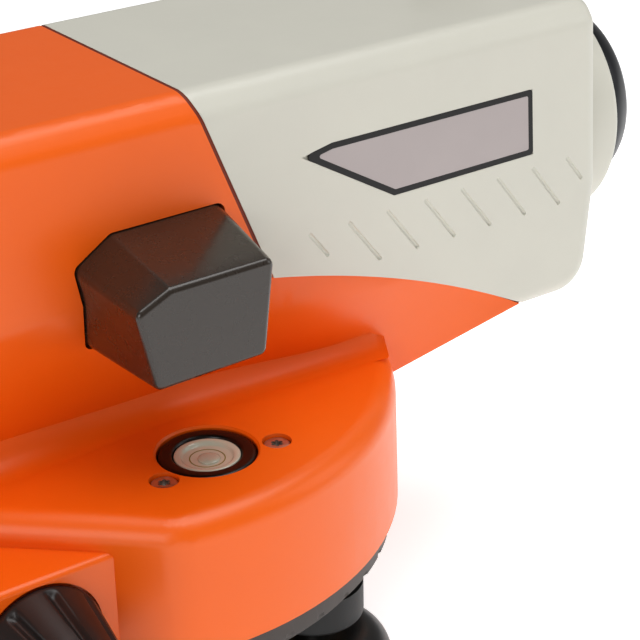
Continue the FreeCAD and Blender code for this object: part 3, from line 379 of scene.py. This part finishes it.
@dataclass(frozen=True)
class Finish:
    """A surface: its material, its two close colours, its gloss and its grain.

    The colours drift into each other over drift_mm. The grain is grain_mm apart and grain_deep mm
    high, and a finer tooth is tooth_mm apart and tooth_deep mm high.
    """

    name: str
    tint: str
    shade: str
    roughness: float
    uneven: float = 0.05
    metallic: float = 0.0
    ior: float = 1.5
    drift_mm: float = 14.0
    grain_mm: float = 0.9
    grain_deep: float = 0.004
    tooth_mm: float = 0.25
    tooth_deep: float = 0.001
    coat: float = 0.0
    coat_roughness: float = 0.1
    clear: float = 0.0
    glow: float = 0.0

    def shader(self, tree: bpy.types.NodeTree) -> bpy.types.Node:
        """The shader with its uniform values set."""
        values = {"Metallic": self.metallic, "Coat Weight": self.coat,
                  "Coat Roughness": self.coat_roughness, "Transmission Weight": self.clear,
                  "Emission Strength": self.glow}
        if not self.metallic:
            values["IOR"] = self.ior
        return add(tree, "ShaderNodeBsdfPrincipled", values)

    def relief(self, tree: bpy.types.NodeTree, place: bpy.types.NodeSocket) -> bpy.types.NodeSocket:
        """The surface's height in metres: a soft grain with a finer tooth on it."""
        grain = noise(tree, place, self.grain_mm, 2.0, Roughness=0.45)
        tooth = noise(tree, place, self.tooth_mm, 1.0)
        high = add(tree, "ShaderNodeMath", {1: self.grain_deep * MM}, {0: grain},
                   operation="MULTIPLY")
        return raised(tree, tooth, self.tooth_deep, high.outputs[0])

    def colour(self, tree: bpy.types.NodeTree, place: bpy.types.NodeSocket) -> bpy.types.NodeSocket:
        """The two colours drifting into each other."""
        drift = noise(tree, place, self.drift_mm, 3.0)
        mix = add(tree, "ShaderNodeMix", {6: linear(self.tint), 7: linear(self.shade)}, {0: drift},
                  data_type="RGBA")
        return mix.outputs[2]

    def make(self) -> bpy.types.Material:
        """Builds the material, once.

        Returns:
            The material of this finish's name.
        """
        known = bpy.data.materials.get(self.name)
        if known:
            return known
        material = bpy.data.materials.new(self.name)
        material.use_nodes = True
        tree = material.node_tree
        tree.nodes.clear()
        place = add(tree, "ShaderNodeTexCoord").outputs["Object"]
        shader = self.shader(tree)
        worn = noise(tree, place, WORN_MM, 4.0)
        limits = {3: self.roughness - self.uneven, 4: self.roughness + self.uneven}
        rough = add(tree, "ShaderNodeMapRange", limits, {0: worn})
        tree.links.new(self.colour(tree, place), shader.inputs["Base Color"])
        tree.links.new(rough.outputs[0], shader.inputs["Roughness"])
        height = self.relief(tree, place)
        bump = add(tree, "ShaderNodeBump", {"Strength": 1.0, "Distance": 1.0}, {"Height": height})
        tree.links.new(bump.outputs[0], shader.inputs["Normal"])
        add(tree, "ShaderNodeOutputMaterial", links={0: shader.outputs[0]})
        return material


@dataclass(frozen=True)
class Turned(Finish):
    """Metal cut on a lathe: fine rings about an axis line through a point in millimetres."""

    axis: Axis = Axis.Z
    centre: tuple[float, float, float] = (0.0, 0.0, 0.0)
    ring_mm: float = 0.35
    ring_deep: float = 0.002
    smear: float = 0.02

    def relief(self, tree: bpy.types.NodeTree, place: bpy.types.NodeSocket) -> bpy.types.NodeSocket:
        """Tool rings: one-way noise along the axis, on top of the usual grain."""
        pace = [1.0 if self.axis.vector[i] else self.smear for i in range(3)]
        streak = add(tree, "ShaderNodeMapping",
                     {"Location": Vector(self.centre) * -MM, "Scale": pace}, {"Vector": place})
        rings = noise(tree, streak.outputs[0], self.ring_mm, 1.0)
        return raised(tree, rings, self.ring_deep, super().relief(tree, place))


class Paint(Enum):
    """Every finish of the instrument."""

    # Stoved enamel on die-cast aluminium, sprayed: a satin film with a fine orange peel.
    ORANGE = Finish("stoved_enamel_orange", "F26A06", "EE6604", 0.40, 0.04, grain_mm=1.0,
                    grain_deep=0.007, tooth_mm=0.3, tooth_deep=0.002, coat=0.2, coat_roughness=0.25)
    # The same enamel in light grey, a little flatter.
    GREY = Finish("stoved_enamel_grey", "D3D1C5", "CDCBC0", 0.42, 0.05, grain_mm=1.0,
                  grain_deep=0.010, tooth_mm=0.3, tooth_deep=0.003, coat=0.15, coat_roughness=0.3)
    # Glossy ABS, injection moulded: deep brown-grey, with soft waves in its reflections.
    BLOCK = Finish("moulded_abs_umber", "352C24", "2E261F", 0.27, 0.04, ior=1.53, grain_mm=2.4,
                   grain_deep=0.010, tooth_mm=0.4, tooth_deep=0.002, coat=0.4, coat_roughness=0.12)
    # Polyamide knobs, moulded with a fine spark-eroded skin: satin, near black with a warm cast.
    KNOB = Finish("moulded_polyamide_black", "2B2321", "231C1A", 0.36, 0.06, grain_mm=0.45,
                  grain_deep=0.006, tooth_mm=0.2, tooth_deep=0.003)
    FOOT = Finish("moulded_polyamide_foot", "262423", "1E1C1B", 0.34, 0.06, grain_mm=0.5,
                  grain_deep=0.006, tooth_mm=0.2, tooth_deep=0.003)
    # Wrinkle-free matt paint on the cast grip ring.
    RING = Finish("matt_enamel_graphite", "4A433F", "413B37", 0.48, 0.06, grain_mm=0.6,
                  grain_deep=0.010, tooth_mm=0.25, tooth_deep=0.003)
    # Powder coat on the base castings: a dry, pebbled black.
    BASE = Finish("powder_coat_black", "252525", "1D1D1D", 0.52, 0.07, grain_mm=0.7,
                  grain_deep=0.020, tooth_mm=0.3, tooth_deep=0.004)
    # Anodised aluminium, black: dense, faintly bluish, with a soft metallic sheen.
    ANODISED = Finish("anodised_aluminium_black", "232428", "1B1C1F", 0.33, 0.05, metallic=0.35,
                      grain_mm=0.3, grain_deep=0.002, tooth_mm=0.15, tooth_deep=0.001)
    HOLDER = Finish("black_acetal", "0E0A08", "0B0806", 0.30, 0.05, grain_mm=0.5, grain_deep=0.002)
    TUBE = Finish("bead_blasted_aluminium", "8E8E90", "7F8083", 0.50, 0.06, metallic=1.0,
                  grain_mm=0.25, grain_deep=0.005)
    # Name plate: clear-anodised aluminium foil with a warm pink-grey dye, and its printed border.
    PLATE = Finish("anodised_foil_rose", "B4ABA9", "ACA3A2", 0.42, 0.04, metallic=0.25,
                   grain_mm=0.35, grain_deep=0.002, tooth_mm=0.12)
    BORDER = Finish("screen_print_black", "181514", "121010", 0.42, 0.05, grain_mm=0.4,
                    grain_deep=0.001)
    # Nitrile seal in the joint line, dull: its dark red-brown is partly its own colour and partly
    # painted shade in the gap with a painted orange reflection from the casting.
    SEAL = Finish("seal_brown_with_painted_shade", "7E3018", "702A14", 0.62, 0.06, ior=1.52, grain_mm=0.6,
                  grain_deep=0.008)
    CUP = Finish("rubber_eye_cup", "1C1B1A", "161514", 0.66, 0.08, ior=1.52, grain_mm=0.5,
                 grain_deep=0.012)
    STAINLESS = Turned("turned_stainless_steel", "D2CEC9", "C4C0BB", 0.32, 0.06, metallic=1.0,
                       grain_mm=0.5, grain_deep=0.002)
    STEEL = Turned("ground_steel", "B9B8B6", "A8A7A6", 0.28, 0.06, metallic=1.0, grain_mm=0.5,
                   grain_deep=0.002)
    SPRING = Finish("rolled_spring_steel", "A9A8A6", "98999A", 0.32, 0.08, metallic=1.0,
                    grain_mm=0.3, grain_deep=0.003)
    BRONZE = Turned("turned_bronze", "C99A5B", "B78749", 0.30, 0.06, metallic=1.0, grain_mm=0.5,
                    grain_deep=0.002)
    COPPER = Finish("rolled_copper", "D88F6C", "C67C59", 0.30, 0.06, metallic=1.0, grain_mm=0.4,
                    grain_deep=0.002)
    MAGNET = Finish("nickel_plated_magnet", "BDB8AE", "AFAAA1", 0.22, 0.04, metallic=1.0,
                    grain_mm=0.6)
    # Crown glass with a bloomed coat: clear, with a cold cast.
    LENS = Finish("bloomed_crown_glass", "E6EEF4", "DCE8F0", 0.02, 0.01, ior=1.52, grain_mm=9.0,
                  grain_deep=0.0004, tooth_deep=0.0, clear=1.0)
    # The vial: alcohol over white enamel behind ground glass, which reads as a creamy solid with
    # a clear skin.
    VIAL = Finish("bubble_vial_cream", "CFCFBE", "C5C4B0", 0.26, 0.04, ior=1.47, grain_mm=3.0,
                  grain_deep=0.002, tooth_deep=0.0, coat=1.0, coat_roughness=0.04)
    BUBBLE = Finish("bubble_in_spirit", "C4C1B0", "B9B5A3", 0.10, 0.02, ior=1.36, grain_mm=4.0,
                    grain_deep=0.0, tooth_deep=0.0, coat=1.0, coat_roughness=0.02)
    MARK = Finish("etched_circle_olive", "86803C", "7A7434", 0.5, 0.05, grain_mm=0.5,
                  grain_deep=0.001)


def dress(obj: bpy.types.Object, paint: Paint) -> bpy.types.Object:
    """Gives a piece, or a CAD node, one finish all over."""
    material = paint.value.make()
    if obj.data.materials:
        for slot in obj.material_slots:
            slot.material = material
    else:
        obj.data.materials.append(material)
    return obj


def place(obj: bpy.types.Object, body: str, paint: Paint, slot: str,
          *nodes: str) -> bpy.types.Object:
    """Finishes a new piece: its paint, the body it rides on and the CAD nodes it stands for."""
    dress(obj, paint)
    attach(obj, body)
    if nodes:
        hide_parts(*nodes)
    LOG.info("%s: %d faces on %s", obj.name, len(obj.data.polygons), body)
    return obj


# ---- sub-assemblies ------------------------------------------------------------------------------


@dataclass
class Casting:
    """The main casting, its light cover over the objective end and the seal between them."""

    edge: float = 0.35
    sight_edge: float = 0.3
    seal_bulge: float = 0.08
    bevel_angle: float = 34.0
    shade_angle: float = 38.0

    def refined(self, node: str, name: str) -> bpy.types.Object:
        """A copy of a cast piece with its last sharp edges broken and its curves shaded smooth."""
        obj = edged(from_node(node, name), self.edge, angle=self.bevel_angle)
        return smooth(obj, self.shade_angle)

    def build(self) -> None:
        """Builds the castings."""
        for node, name, paint, slot in (
                ("main_housing", "main_casting", Paint.ORANGE, "orange_paint"),
                ("front_cover", "objective_cover", Paint.GREY, "grey_paint")):
            place(self.refined(node, name), "alidade", paint, slot, node)
        # The seal in the joint: its red-brown is partly its own colour and partly painted shade in
        # the gap with a painted orange reflection from the casting.
        seal = from_node("cover_gasket", "joint_seal")
        pick(seal, lambda co: True)
        bpy.ops.transform.shrink_fatten(value=self.seal_bulge * MM)
        place(smooth(done(seal)), "alidade", Paint.SEAL, "seal_rubber", "cover_gasket")
        sight = smooth(edged(from_node("top_sight", "peep_sight"), self.sight_edge))
        place(sight, "alidade", Paint.RING, "ring_metal", "top_sight")


@dataclass
class NamePlates:
    """Blank pointed plates, one on each side, with a printed border."""

    outline: Outline = ((33.7, 109.9), (40.5, 111.2), (88.8, 111.2), (88.8, 97.9), (54.2, 97.7))
    corner: float = 0.8
    field_corner: float = 0.4
    border: float = 1.15
    thick: float = 0.35
    proud: float = 0.04
    field_proud: float = 0.03
    rounding: float = 0.05
    crease: tuple = (31.0, 94.0)
    shoulder: tuple = (29.4, 122.0)

    def wall(self, z: float) -> float:
        """Half-width of the leaning side at a height."""
        share = (z - self.crease[1]) / (self.shoulder[1] - self.crease[1])
        return self.crease[0] + (self.shoulder[0] - self.crease[0]) * share

    def field(self) -> list[tuple[float, float]]:
        """The outline moved in by the border's width."""
        inner = []
        for before, here, after in in_turn(self.outline):
            back, ahead = (Vector(p) - Vector(here) for p in (before, after))
            inwards = (back.normalized() + ahead.normalized()).normalized()
            reach = self.border / math.sin(back.angle(ahead) / 2.0)
            inner.append(tuple(Vector(here) + inwards * reach))
        return inner

    def sheet(self, name: str, outline: Outline, side: int, low: float,
              high: float) -> bpy.types.Object:
        """A sheet that follows the leaning wall, between two heights over it."""
        points = [(x, side * (self.wall(z) + low), z) for x, z in outline]
        return edged(slab(name, points, (0.0, side * (high - low), 0.0)), self.rounding)

    def build(self) -> None:
        """Builds both plates: a printed border with the bare field a hair over it."""
        rim = softened(self.outline, self.corner)
        bare = softened(self.field(), self.field_corner)
        for side, hand in ((-1, "right"), (1, "left")):
            border = self.sheet("name_plate_" + hand, rim, side, -self.thick, self.proud)
            place(border, "alidade", Paint.BORDER, "plate_metal", "nameplates")
            middle = self.sheet("name_plate_field_" + hand, bare, side, -self.thick / 2.0,
                                self.proud + self.field_proud)
            place(middle, "alidade", Paint.PLATE, "plate_metal")


@dataclass
class BubblePrism:
    """The dark five-sided block over the bubble, with the prism inside."""

    face_y: float = -50.0
    root_y: float = -27.0
    face: Outline = ((-10.3, 84.2), (11.8, 84.6), (14.1, 102.3), (-6.6, 102.2), (-13.4, 99.2))
    root: Outline = ((-11.6, 83.9), (15.6, 85.2), (17.0, 106.2), (-6.4, 106.0), (-14.2, 101.2))
    face_corner: float = 1.4
    root_corner: float = 2.2
    rounding: float = 1.0
    bevel_angle: float = 34.0
    window_at: tuple = (2.0, -40.7, 84.6)
    window_radius: float = 7.0
    window_depth: float = 8.0

    def window(self) -> bpy.types.Object:
        """The round tool that opens the block over the bubble."""
        bpy.ops.object.select_all(action="DESELECT")
        bpy.ops.mesh.primitive_cylinder_add(
            vertices=64, radius=self.window_radius * MM, depth=self.window_depth * MM,
            location=Vector(self.window_at) * MM)
        tool = only(bpy.context.object)
        bpy.ops.object.transform_apply(location=True, rotation=True, scale=True)
        return tool

    def build(self) -> None:
        """Pushes the front outline back, spreads its root and opens the window under it."""
        front = softened(self.face, self.face_corner)
        back = softened(self.root, self.root_corner)
        obj = slab("prism_block", [(x, self.face_y, z) for x, z in front],
                   (0.0, self.root_y - self.face_y, 0.0))
        for (x0, z0), (x1, z1) in zip(front, back):
            here = Vector((x0, self.root_y, z0)) * MM
            pick(obj, lambda co, here=here: (co - here).length < SAME * MM)
            bpy.ops.transform.translate(value=Vector((x1 - x0, 0.0, z1 - z0)) * MM)
            done(obj)
        obj = carved(edged(obj, self.rounding, 4, self.bevel_angle), [self.window()])
        place(smooth(obj), "alidade", Paint.BLOCK, "block_plastic", "prism_housing")


@dataclass
class BubbleLevel:
    """The circular bubble in its sprung holder, and the two screws that adjust it."""

    centre: tuple = (4.0, -41.1, 0.0)
    ring: float = 9.0
    foot: float = 57.5
    top: float = 63.9
    glass: float = 6.1
    sunk: float = 1.15
    mark: float = 3.3
    bubble: tuple = (0.1, -0.35, 2.05)
    screws: tuple = ((-7.6, -45.4), (16.0, -45.7))
    head: float = 2.55
    head_top: float = 63.8
    shank: float = 1.15
    shank_foot: float = 55.0
    socket_deep: float = 1.1
    socket_core: float = 0.72
    lobe: float = 1.15
    lobe_half: float = 0.34
    lobe_shape: Outline = ((0.86, -1.0), (1.0, -0.45), (1.0, 0.45), (0.86, 1.0),
                           (-0.86, 1.0), (-1.0, 0.45), (-1.0, -0.45), (-0.86, -1.0))

    def holder(self) -> bpy.types.Object:
        """The black ring, rounded on its shoulder and bevelled towards the glass."""
        r, g, top = self.ring, self.glass, self.top
        profile = [(g + 0.1, self.foot), (r, self.foot), (r, top - 0.8), (r - 0.12, top - 0.4),
                   (r - 0.4, top - 0.1), (r - 0.9, top), (g + 0.75, top - 0.02),
                   (g + 0.4, top - 0.16), (g + 0.18, top - 0.45), (g + 0.1, top - 0.9)]
        return smooth(lathe("bubble_holder", profile, Axis.Z, self.centre, 128, True), 60.0)

    def vial(self) -> bpy.types.Object:
        """The glass: a worn outer rim, a step down and a shallow dish inside it."""
        g, top = self.glass, self.top
        low = top - self.sunk
        profile = [(0.0, self.foot), (g, self.foot), (g, top - 0.55), (g - 0.15, top - 0.38),
                   (g - 0.45, top - 0.34), (g - 0.95, top - 0.42), (g - 1.15, top - 0.5),
                   (g - 1.35, top - 0.66), (g - 1.55, low + 0.16), (g - 1.75, low + 0.08),
                   (g - 2.1, low + 0.04), (self.mark, low), (self.mark / 2, low - 0.03),
                   (0.0, low - 0.04)]
        return smooth(lathe("bubble_vial", profile, Axis.Z, self.centre, 96), 60.0)

    def circle(self) -> bpy.types.Object:
        """The etched circle that the bubble is centred in."""
        r, width, low = self.mark, 0.2, self.top - self.sunk
        profile = [(r - width, low - 0.1), (r, low - 0.1), (r, low + 0.03), (r - width, low + 0.03)]
        return smooth(lathe("bubble_circle", profile, Axis.Z, self.centre, 72, True))

    def air(self) -> bpy.types.Object:
        """The bubble, a flat drop under the glass."""
        dx, dy, r = self.bubble
        centre = (self.centre[0] + dx, self.centre[1] + dy, 0.0)
        z = self.top - self.sunk
        profile = [(0.0, z - 0.4), (r * 0.9, z - 0.4), (r * 0.97, z - 0.1), (r, z + 0.08),
                   (r * 0.97, z + 0.2), (r * 0.86, z + 0.33), (r * 0.66, z + 0.44),
                   (r * 0.36, z + 0.5), (0.0, z + 0.52)]
        return smooth(lathe("air_bubble", profile, Axis.Z, centre, 64), 70.0)

    def screw(self, index: int, spot: tuple) -> bpy.types.Object:
        """A domed screw head with a six-lobed socket, in its counterbore."""
        r, top, shank = self.head, self.head_top, self.shank
        profile = [(0.0, self.shank_foot), (shank, self.shank_foot), (shank, top - 2.2),
                   (r - 0.2, top - 2.2), (r, top - 2.0), (r, top - 0.5), (r - 0.08, top - 0.28),
                   (r - 0.3, top - 0.06), (r - 0.5, top), (0.0, top)]
        centre = (spot[0], spot[1], 0.0)
        obj = lathe("level_screw_%d" % index, profile, Axis.Z, centre, 64)
        low, tools = top - self.socket_deep, []
        for turn in range(3):
            angle = math.pi / 3 * turn
            arm = Vector((math.cos(angle), math.sin(angle), 0.0)) * self.lobe
            side = Vector((-math.sin(angle), math.cos(angle), 0.0)) * self.lobe_half
            mid = Vector((spot[0], spot[1], low))
            outline = [mid + arm * out + side * across for out, across in self.lobe_shape]
            tools.append(slab("socket_tool", outline, (0.0, 0.0, 2.0)))
        core = self.socket_core
        drill = [(0.0, low), (core, low), (core, top + 1), (0.0, top + 1)]
        tools.append(lathe("socket_tool", drill, Axis.Z, centre, 24))
        return smooth(carved(obj, tools), 28.0)

    def build(self) -> None:
        """Builds the level."""
        place(self.holder(), "alidade", Paint.HOLDER, "black_anodised", "level_ring")
        place(self.vial(), "alidade", Paint.VIAL, "vial_glass", "level_vial")
        place(self.circle(), "alidade", Paint.MARK, "vial_glass")
        place(self.air(), "alidade", Paint.BUBBLE, "vial_glass")
        for index, spot in enumerate(self.screws, 1):
            place(self.screw(index, spot), "alidade", Paint.STAINLESS, "stainless",
                  "level_screws")


@dataclass
class SlowMotion:
    """The two tapered, ribbed knobs of the slow-motion drive on their cross shaft."""

    centre: tuple = (-37.0, 0.0, 46.0)
    start: float = 52.4
    tip: float = 70.0
    lip: float = 0.8
    nose: float = 2.0
    wide: float = 11.35
    narrow: float = 8.4
    ribs: int = 9
    steps: int = 24
    phase: int = 5
    bite: float = 0.95
    flute: tuple = (1.0, 0.93, 0.68, 0.26)
    core: float = 3.0

    def radius(self, y: float) -> float:
        """Radius of the cone at a distance along the shaft."""
        run = self.tip - self.nose - self.start - self.lip
        return self.wide + (self.narrow - self.wide) * (y - self.start - self.lip) / run

    def knob(self, name: str, side: int) -> bpy.types.Object:
        """A turned cone with long flutes sunk between its ribs."""
        r0, r1, y0, y1 = self.wide, self.narrow, self.start, self.tip
        plain = [y0 + 0.9, y0 + 1.5]
        cut = [y0 + 1.9, y0 + 2.3, y0 + 3.0, y0 + 7.0, y0 + 11.0, y1 - 2.6]
        profile = [(0.0, y0 + 9.0), (2.2, y0 + 9.0), (2.2, y0), (r0 - 0.7, y0),
                   (r0 - 0.2, y0 + 0.25)]
        profile += [(self.radius(y), y) for y in plain + cut]
        profile += [(r1 - 0.15, y1 - 1.9), (r1 - 0.6, y1 - 1.1), (r1 - 1.3, y1 - 0.4),
                    (r1 - 2.2, y1), (0.0, y1)]
        count = self.ribs * self.steps
        obj = lathe(name, [(r, side * y) for r, y in profile], Axis.Y, self.centre, count)
        reaches = (0.45, 0.85, 1.0, 1.0, 1.0, 1.0, 1.0)
        cut.append(y1 - 1.9)
        stations = [(side * y, reach, self.radius(y)) for y, reach in zip(cut, reaches)]
        fluted(obj, Axis.Y, self.centre, (count, self.steps, self.phase), self.flute, self.bite,
               stations, self.core)
        return smooth(obj, 42.0)

    def build(self) -> None:
        """Builds both knobs."""
        for side, hand in ((-1, "right"), (1, "left")):
            place(self.knob("slow_knob_" + hand, side), "worm", Paint.KNOB, "knob_plastic",
                  "tangent_knob_" + hand)


@dataclass
class LevellingBase:
    """Base plate, three foot screws, tribrach and the grip ring of the horizontal circle."""

    foot: float = 50.0
    angles: dict = field(default_factory=lambda: {"a": 180.0, "b": -60.0, "c": 60.0})
    knob: float = 15.0
    crown: float = 8.0
    low: float = 7.4
    high: float = 19.6
    shoulder: float = 7.5
    flutes: int = 18
    steps: int = 8
    bite: float = 0.85
    flute: tuple = (1.0, 0.72)

    def foot_knob(self, name: str, angle: float) -> bpy.types.Object:
        """A domed knob with short flutes round its skirt."""
        turn = math.radians(angle)
        centre = (self.foot * math.cos(turn), self.foot * math.sin(turn), 0.0)
        dome = []
        for step in range(13):
            bend = math.pi / 2 * step / 12
            dome.append((self.crown + (self.knob - self.crown) * math.cos(bend),
                         self.high - self.shoulder + self.shoulder * math.sin(bend)))
        levels = [self.low + 0.2, self.low + 0.7, self.low + 1.8, self.low + 3.2, self.low + 4.2]
        profile = [(4.05, 11.4), (5.2, 11.4), (5.2, self.low), (self.knob - 0.9, self.low)]
        profile += [(self.knob - 0.3, levels[0])] + [(self.knob, z) for z in levels[1:]] + dome
        profile.append((4.05, self.high))
        count = self.flutes * self.steps
        obj = lathe("foot_knob_%s_grip" % name, profile, Axis.Z, centre, count, True)
        reaches = (1.0, 1.0, 1.0, 0.75, 0.25, 1.0)
        stations = [(z, reach, self.knob) for z, reach in zip(levels + [self.low], reaches)]
        fluted(obj, Axis.Z, centre, (count, self.steps, 0), self.flute, self.bite, stations,
               self.knob - 2.0)
        return smooth(obj, 40.0)

    def build(self) -> None:
        """Builds the base."""
        for name, angle in self.angles.items():
            place(self.foot_knob(name, angle), "knob_" + name, Paint.FOOT, "knob_plastic",
                  "foot_knob_" + name)
        for node, paint, slot, body, edge in (
                ("horizontal_circle", Paint.RING, "ring_metal", "circle", 0.25),
                ("base_plate", Paint.BASE, "base_metal", "base", 0.3),
                ("tribrach", Paint.BASE, "base_metal", "tribrach", 0.3)):
            place(smooth(edged(from_node(node, node + "_cast"), edge)), body, paint, slot, node)


@dataclass
class Focus:
    """The focusing knob on its shaft."""

    centre: tuple = (2.0, 0.0, 97.3)
    radius: float = 13.0
    start: float = 32.4
    end: float = 47.0
    ribs: int = 24
    steps: int = 8
    bite: float = 0.7
    flute: tuple = (1.0, 0.75, 0.2)

    def build(self) -> None:
        """Turns the knob, sinks its grooves and dishes its face."""
        r, y0, y1 = self.radius, self.start, self.end
        levels = [y0 + 2.2, y0 + 2.7, y0 + 3.4, y1 - 3.6, y1 - 2.9, y1 - 2.4]
        profile = [(0.0, y0 + 2), (4.0, y0 + 2), (4.0, y0), (r - 0.8, y0), (r - 0.2, y0 + 0.3),
                   (r, y0 + 0.9)]
        profile += [(r, y) for y in levels]
        profile += [(r - 0.1, y1 - 1.5), (r - 0.6, y1 - 0.6), (r - 1.5, y1 - 0.05), (r - 2.2, y1),
                    (r - 3.0, y1 - 0.25), (r - 3.6, y1 - 0.7), (0.0, y1 - 1.0)]
        count = self.ribs * self.steps
        obj = lathe("focus_knob_grip", profile, Axis.Y, self.centre, count)
        stations = [(y, reach, r) for y, reach in zip(levels[1:-1], (0.6, 1.0, 1.0, 0.6))]
        fluted(obj, Axis.Y, self.centre, (count, self.steps, 0), self.flute, self.bite, stations,
               r - 1.5)
        place(smooth(obj, 40.0), "focus_drive", Paint.KNOB, "knob_plastic", "focus_knob")


@dataclass
class Telescope:
    """Eyepiece and objective: the turned parts on the line of sight."""

    height: float = 95.0

    def build(self) -> None:
        """Builds the retaining ring, the mount, the ribbed ring and the eye cup."""
        centre = (0.0, 0.0, self.height)
        rim = [(16.5, 112.0), (19.0, 112.0), (19.0, 118.2), (21.4, 118.2), (21.6, 118.5),
               (21.5, 119.8), (21.2, 121.4), (20.5, 123.0), (19.6, 124.6), (18.9, 125.6),
               (18.1, 126.2), (17.4, 126.5), (16.9, 126.4), (16.6, 126.0), (16.5, 125.2),
               (16.8, 123.0), (16.8, 119.4), (16.5, 119.0)]
        place(smooth(lathe("objective_rim", rim, Axis.X, centre, 128, True)), "alidade",
              Paint.ANODISED, "black_anodised", "objective_ring")
        cup = [(9.6, -85.5), (13.0, -85.5), (13.0, -82.5), (14.7, -82.5), (15.0, -82.9),
               (14.9, -85.0), (14.4, -86.2), (14.4, -86.9), (14.8, -88.0), (14.7, -89.6),
               (14.2, -90.6), (13.2, -91.0), (12.2, -90.8), (11.6, -90.1), (10.9, -88.4),
               (9.9, -86.4)]
        place(smooth(lathe("rubber_eye_cup", cup, Axis.X, centre, 96, True), 50.0), "ocular",
              Paint.CUP, "cup_rubber", "eye_cup")
        for node, paint, slot, body, edge in (
                ("eyepiece_mount", Paint.ANODISED, "black_anodised", "alidade", 0.25),
                ("eyepiece_ring", Paint.KNOB, "knob_plastic", "dioptre", 0.15),
                ("adjusting_cap", Paint.ANODISED, "black_anodised", "alidade", 0.15),
                ("ocular_cell", Paint.ANODISED, "black_anodised", "ocular", 0.2)):
            place(smooth(edged(from_node(node, node + "_turned"), edge)), body, paint, slot, node)


@dataclass
class InnerWorks:
    """CAD pieces that keep their shape and get a finish of their own."""

    finishes: dict = field(default_factory=lambda: {
        Paint.STEEL: ("axis_spindle foot_spindle_a foot_spindle_b foot_spindle_c worm_shaft "
                      "suspension_clamps focus_pinion"),
        Paint.MAGNET: "damper_magnets",
        Paint.STAINLESS: "spring_plate_screws cover_screws bottom_cover_screws",
        Paint.SPRING: "spring_plate level_spring clutch_spring",
        Paint.BRONZE: "worm_wheel axis_bush foot_bushes focus_rack foot_seat",
        Paint.COPPER: "damper_plate",
        Paint.TUBE: "telescope_tube compensator_frame pendulum_frame level_base",
        Paint.ANODISED: "reticle_ring focusing_cell bottom_cover",
        Paint.LENS: ("objective_lens focusing_lens ocular_lenses reticle fixed_prisms "
                     "pendulum_prism bubble_prism index_window"),
    })

    def build(self) -> None:
        """Dresses the CAD nodes."""
        for paint, names in self.finishes.items():
            for name in names.split():
                dress(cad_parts[name], paint)
                LOG.info("%s dressed as %s", name, paint.value.name)


@dataclass
class Studio:
    """Pale floor, soft boxes and the camera."""

    look: tuple = (44.02, -20.0, 70.51)
    azimuth: float = -34.94
    elevation: float = 25.54
    roll: float = -1.23
    distance: float = 381.83
    lens: float = 109.44
    sensor: float = 36.0
    clip: tuple = (0.01, 20.0)
    floor_size: float = 12.0
    ambient: float = 0.22
    boxes: tuple = (
        ("top_box", (0.15, -0.1, 0.9), (0.7, 0.7), 4.2, (0.02, 0.0, 0.08)),
        ("right_box", (0.9, -0.5, 0.5), (0.5, 0.6), 1.2, (0.03, 0.0, 0.08)),
        ("left_box", (-0.7, -0.5, 0.45), (0.4, 0.5), 1.8, (0.0, 0.0, 0.07)),
    )

    def camera(self) -> None:
        """Sets the camera by the direction it looks from."""
        a, e, t = (math.radians(v) for v in (self.azimuth, self.elevation, self.roll))
        back = Vector((math.sin(a) * math.cos(e), -math.cos(a) * math.cos(e), math.sin(e)))
        right = Vector((math.cos(a), math.sin(a), 0.0))
        up = back.cross(right)
        x_axis = right * math.cos(t) + up * math.sin(t)
        y_axis = up * math.cos(t) - right * math.sin(t)
        data = bpy.data.cameras.new("view")
        data.lens = self.lens
        data.sensor_width = self.sensor
        data.clip_start, data.clip_end = self.clip
        obj = bpy.data.objects.new("view", data)
        turn = Matrix((x_axis, y_axis, back)).transposed().to_4x4()
        eye = (Vector(self.look) + back * self.distance) * MM
        obj.matrix_world = Matrix.Translation(eye) @ turn
        bpy.context.scene.collection.objects.link(obj)
        bpy.context.scene.camera = obj

    def floor(self) -> None:
        """A plain pale floor."""
        bpy.ops.object.select_all(action="DESELECT")
        bpy.ops.mesh.primitive_plane_add(size=self.floor_size)
        obj = bpy.context.object
        obj.name = "floor"
        paper = Finish("matt_white_paper", "FAFAFA", "F7F7F7", 0.8, 0.02, drift_mm=300.0,
                       grain_mm=4.0, grain_deep=0.0, tooth_deep=0.0, glow=0.5)
        obj.data.materials.append(paper.make())

    def box(self, name: str, at: Point, size: Flat, power: float, aim: Point) -> None:
        """A soft box that points at a place."""
        data = bpy.data.lights.new(name, "AREA")
        data.shape = "RECTANGLE"
        data.size, data.size_y = size
        data.energy = power
        obj = bpy.data.objects.new(name, data)
        obj.location = at
        obj.rotation_euler = (Vector(at) - Vector(aim)).to_track_quat("Z", "Y").to_euler()
        bpy.context.scene.collection.objects.link(obj)

    def build(self) -> None:
        """Builds the studio."""
        self.camera()
        self.floor()
        world = bpy.data.worlds.new("studio")
        world.use_nodes = True
        sky = world.node_tree.nodes["Background"]
        sky.inputs[0].default_value = WHITE
        sky.inputs[1].default_value = self.ambient
        bpy.context.scene.world = world
        for box in self.boxes:
            self.box(*box)
        bpy.context.scene.view_settings.view_transform = "Standard"
        bpy.context.scene.view_settings.look = "Medium High Contrast"


def main() -> None:
    """Builds the instrument, piece by piece, and its studio."""
    logging.basicConfig(level=logging.INFO, format="%(name)s %(message)s")
    for part in (Studio(), InnerWorks(), Casting(), NamePlates(), BubblePrism(), BubbleLevel(),
                 SlowMotion(), LevellingBase(), Focus(), Telescope()):
        LOG.info("building %s", type(part).__name__)
        part.build()


if __name__ == "__main__":
    main()
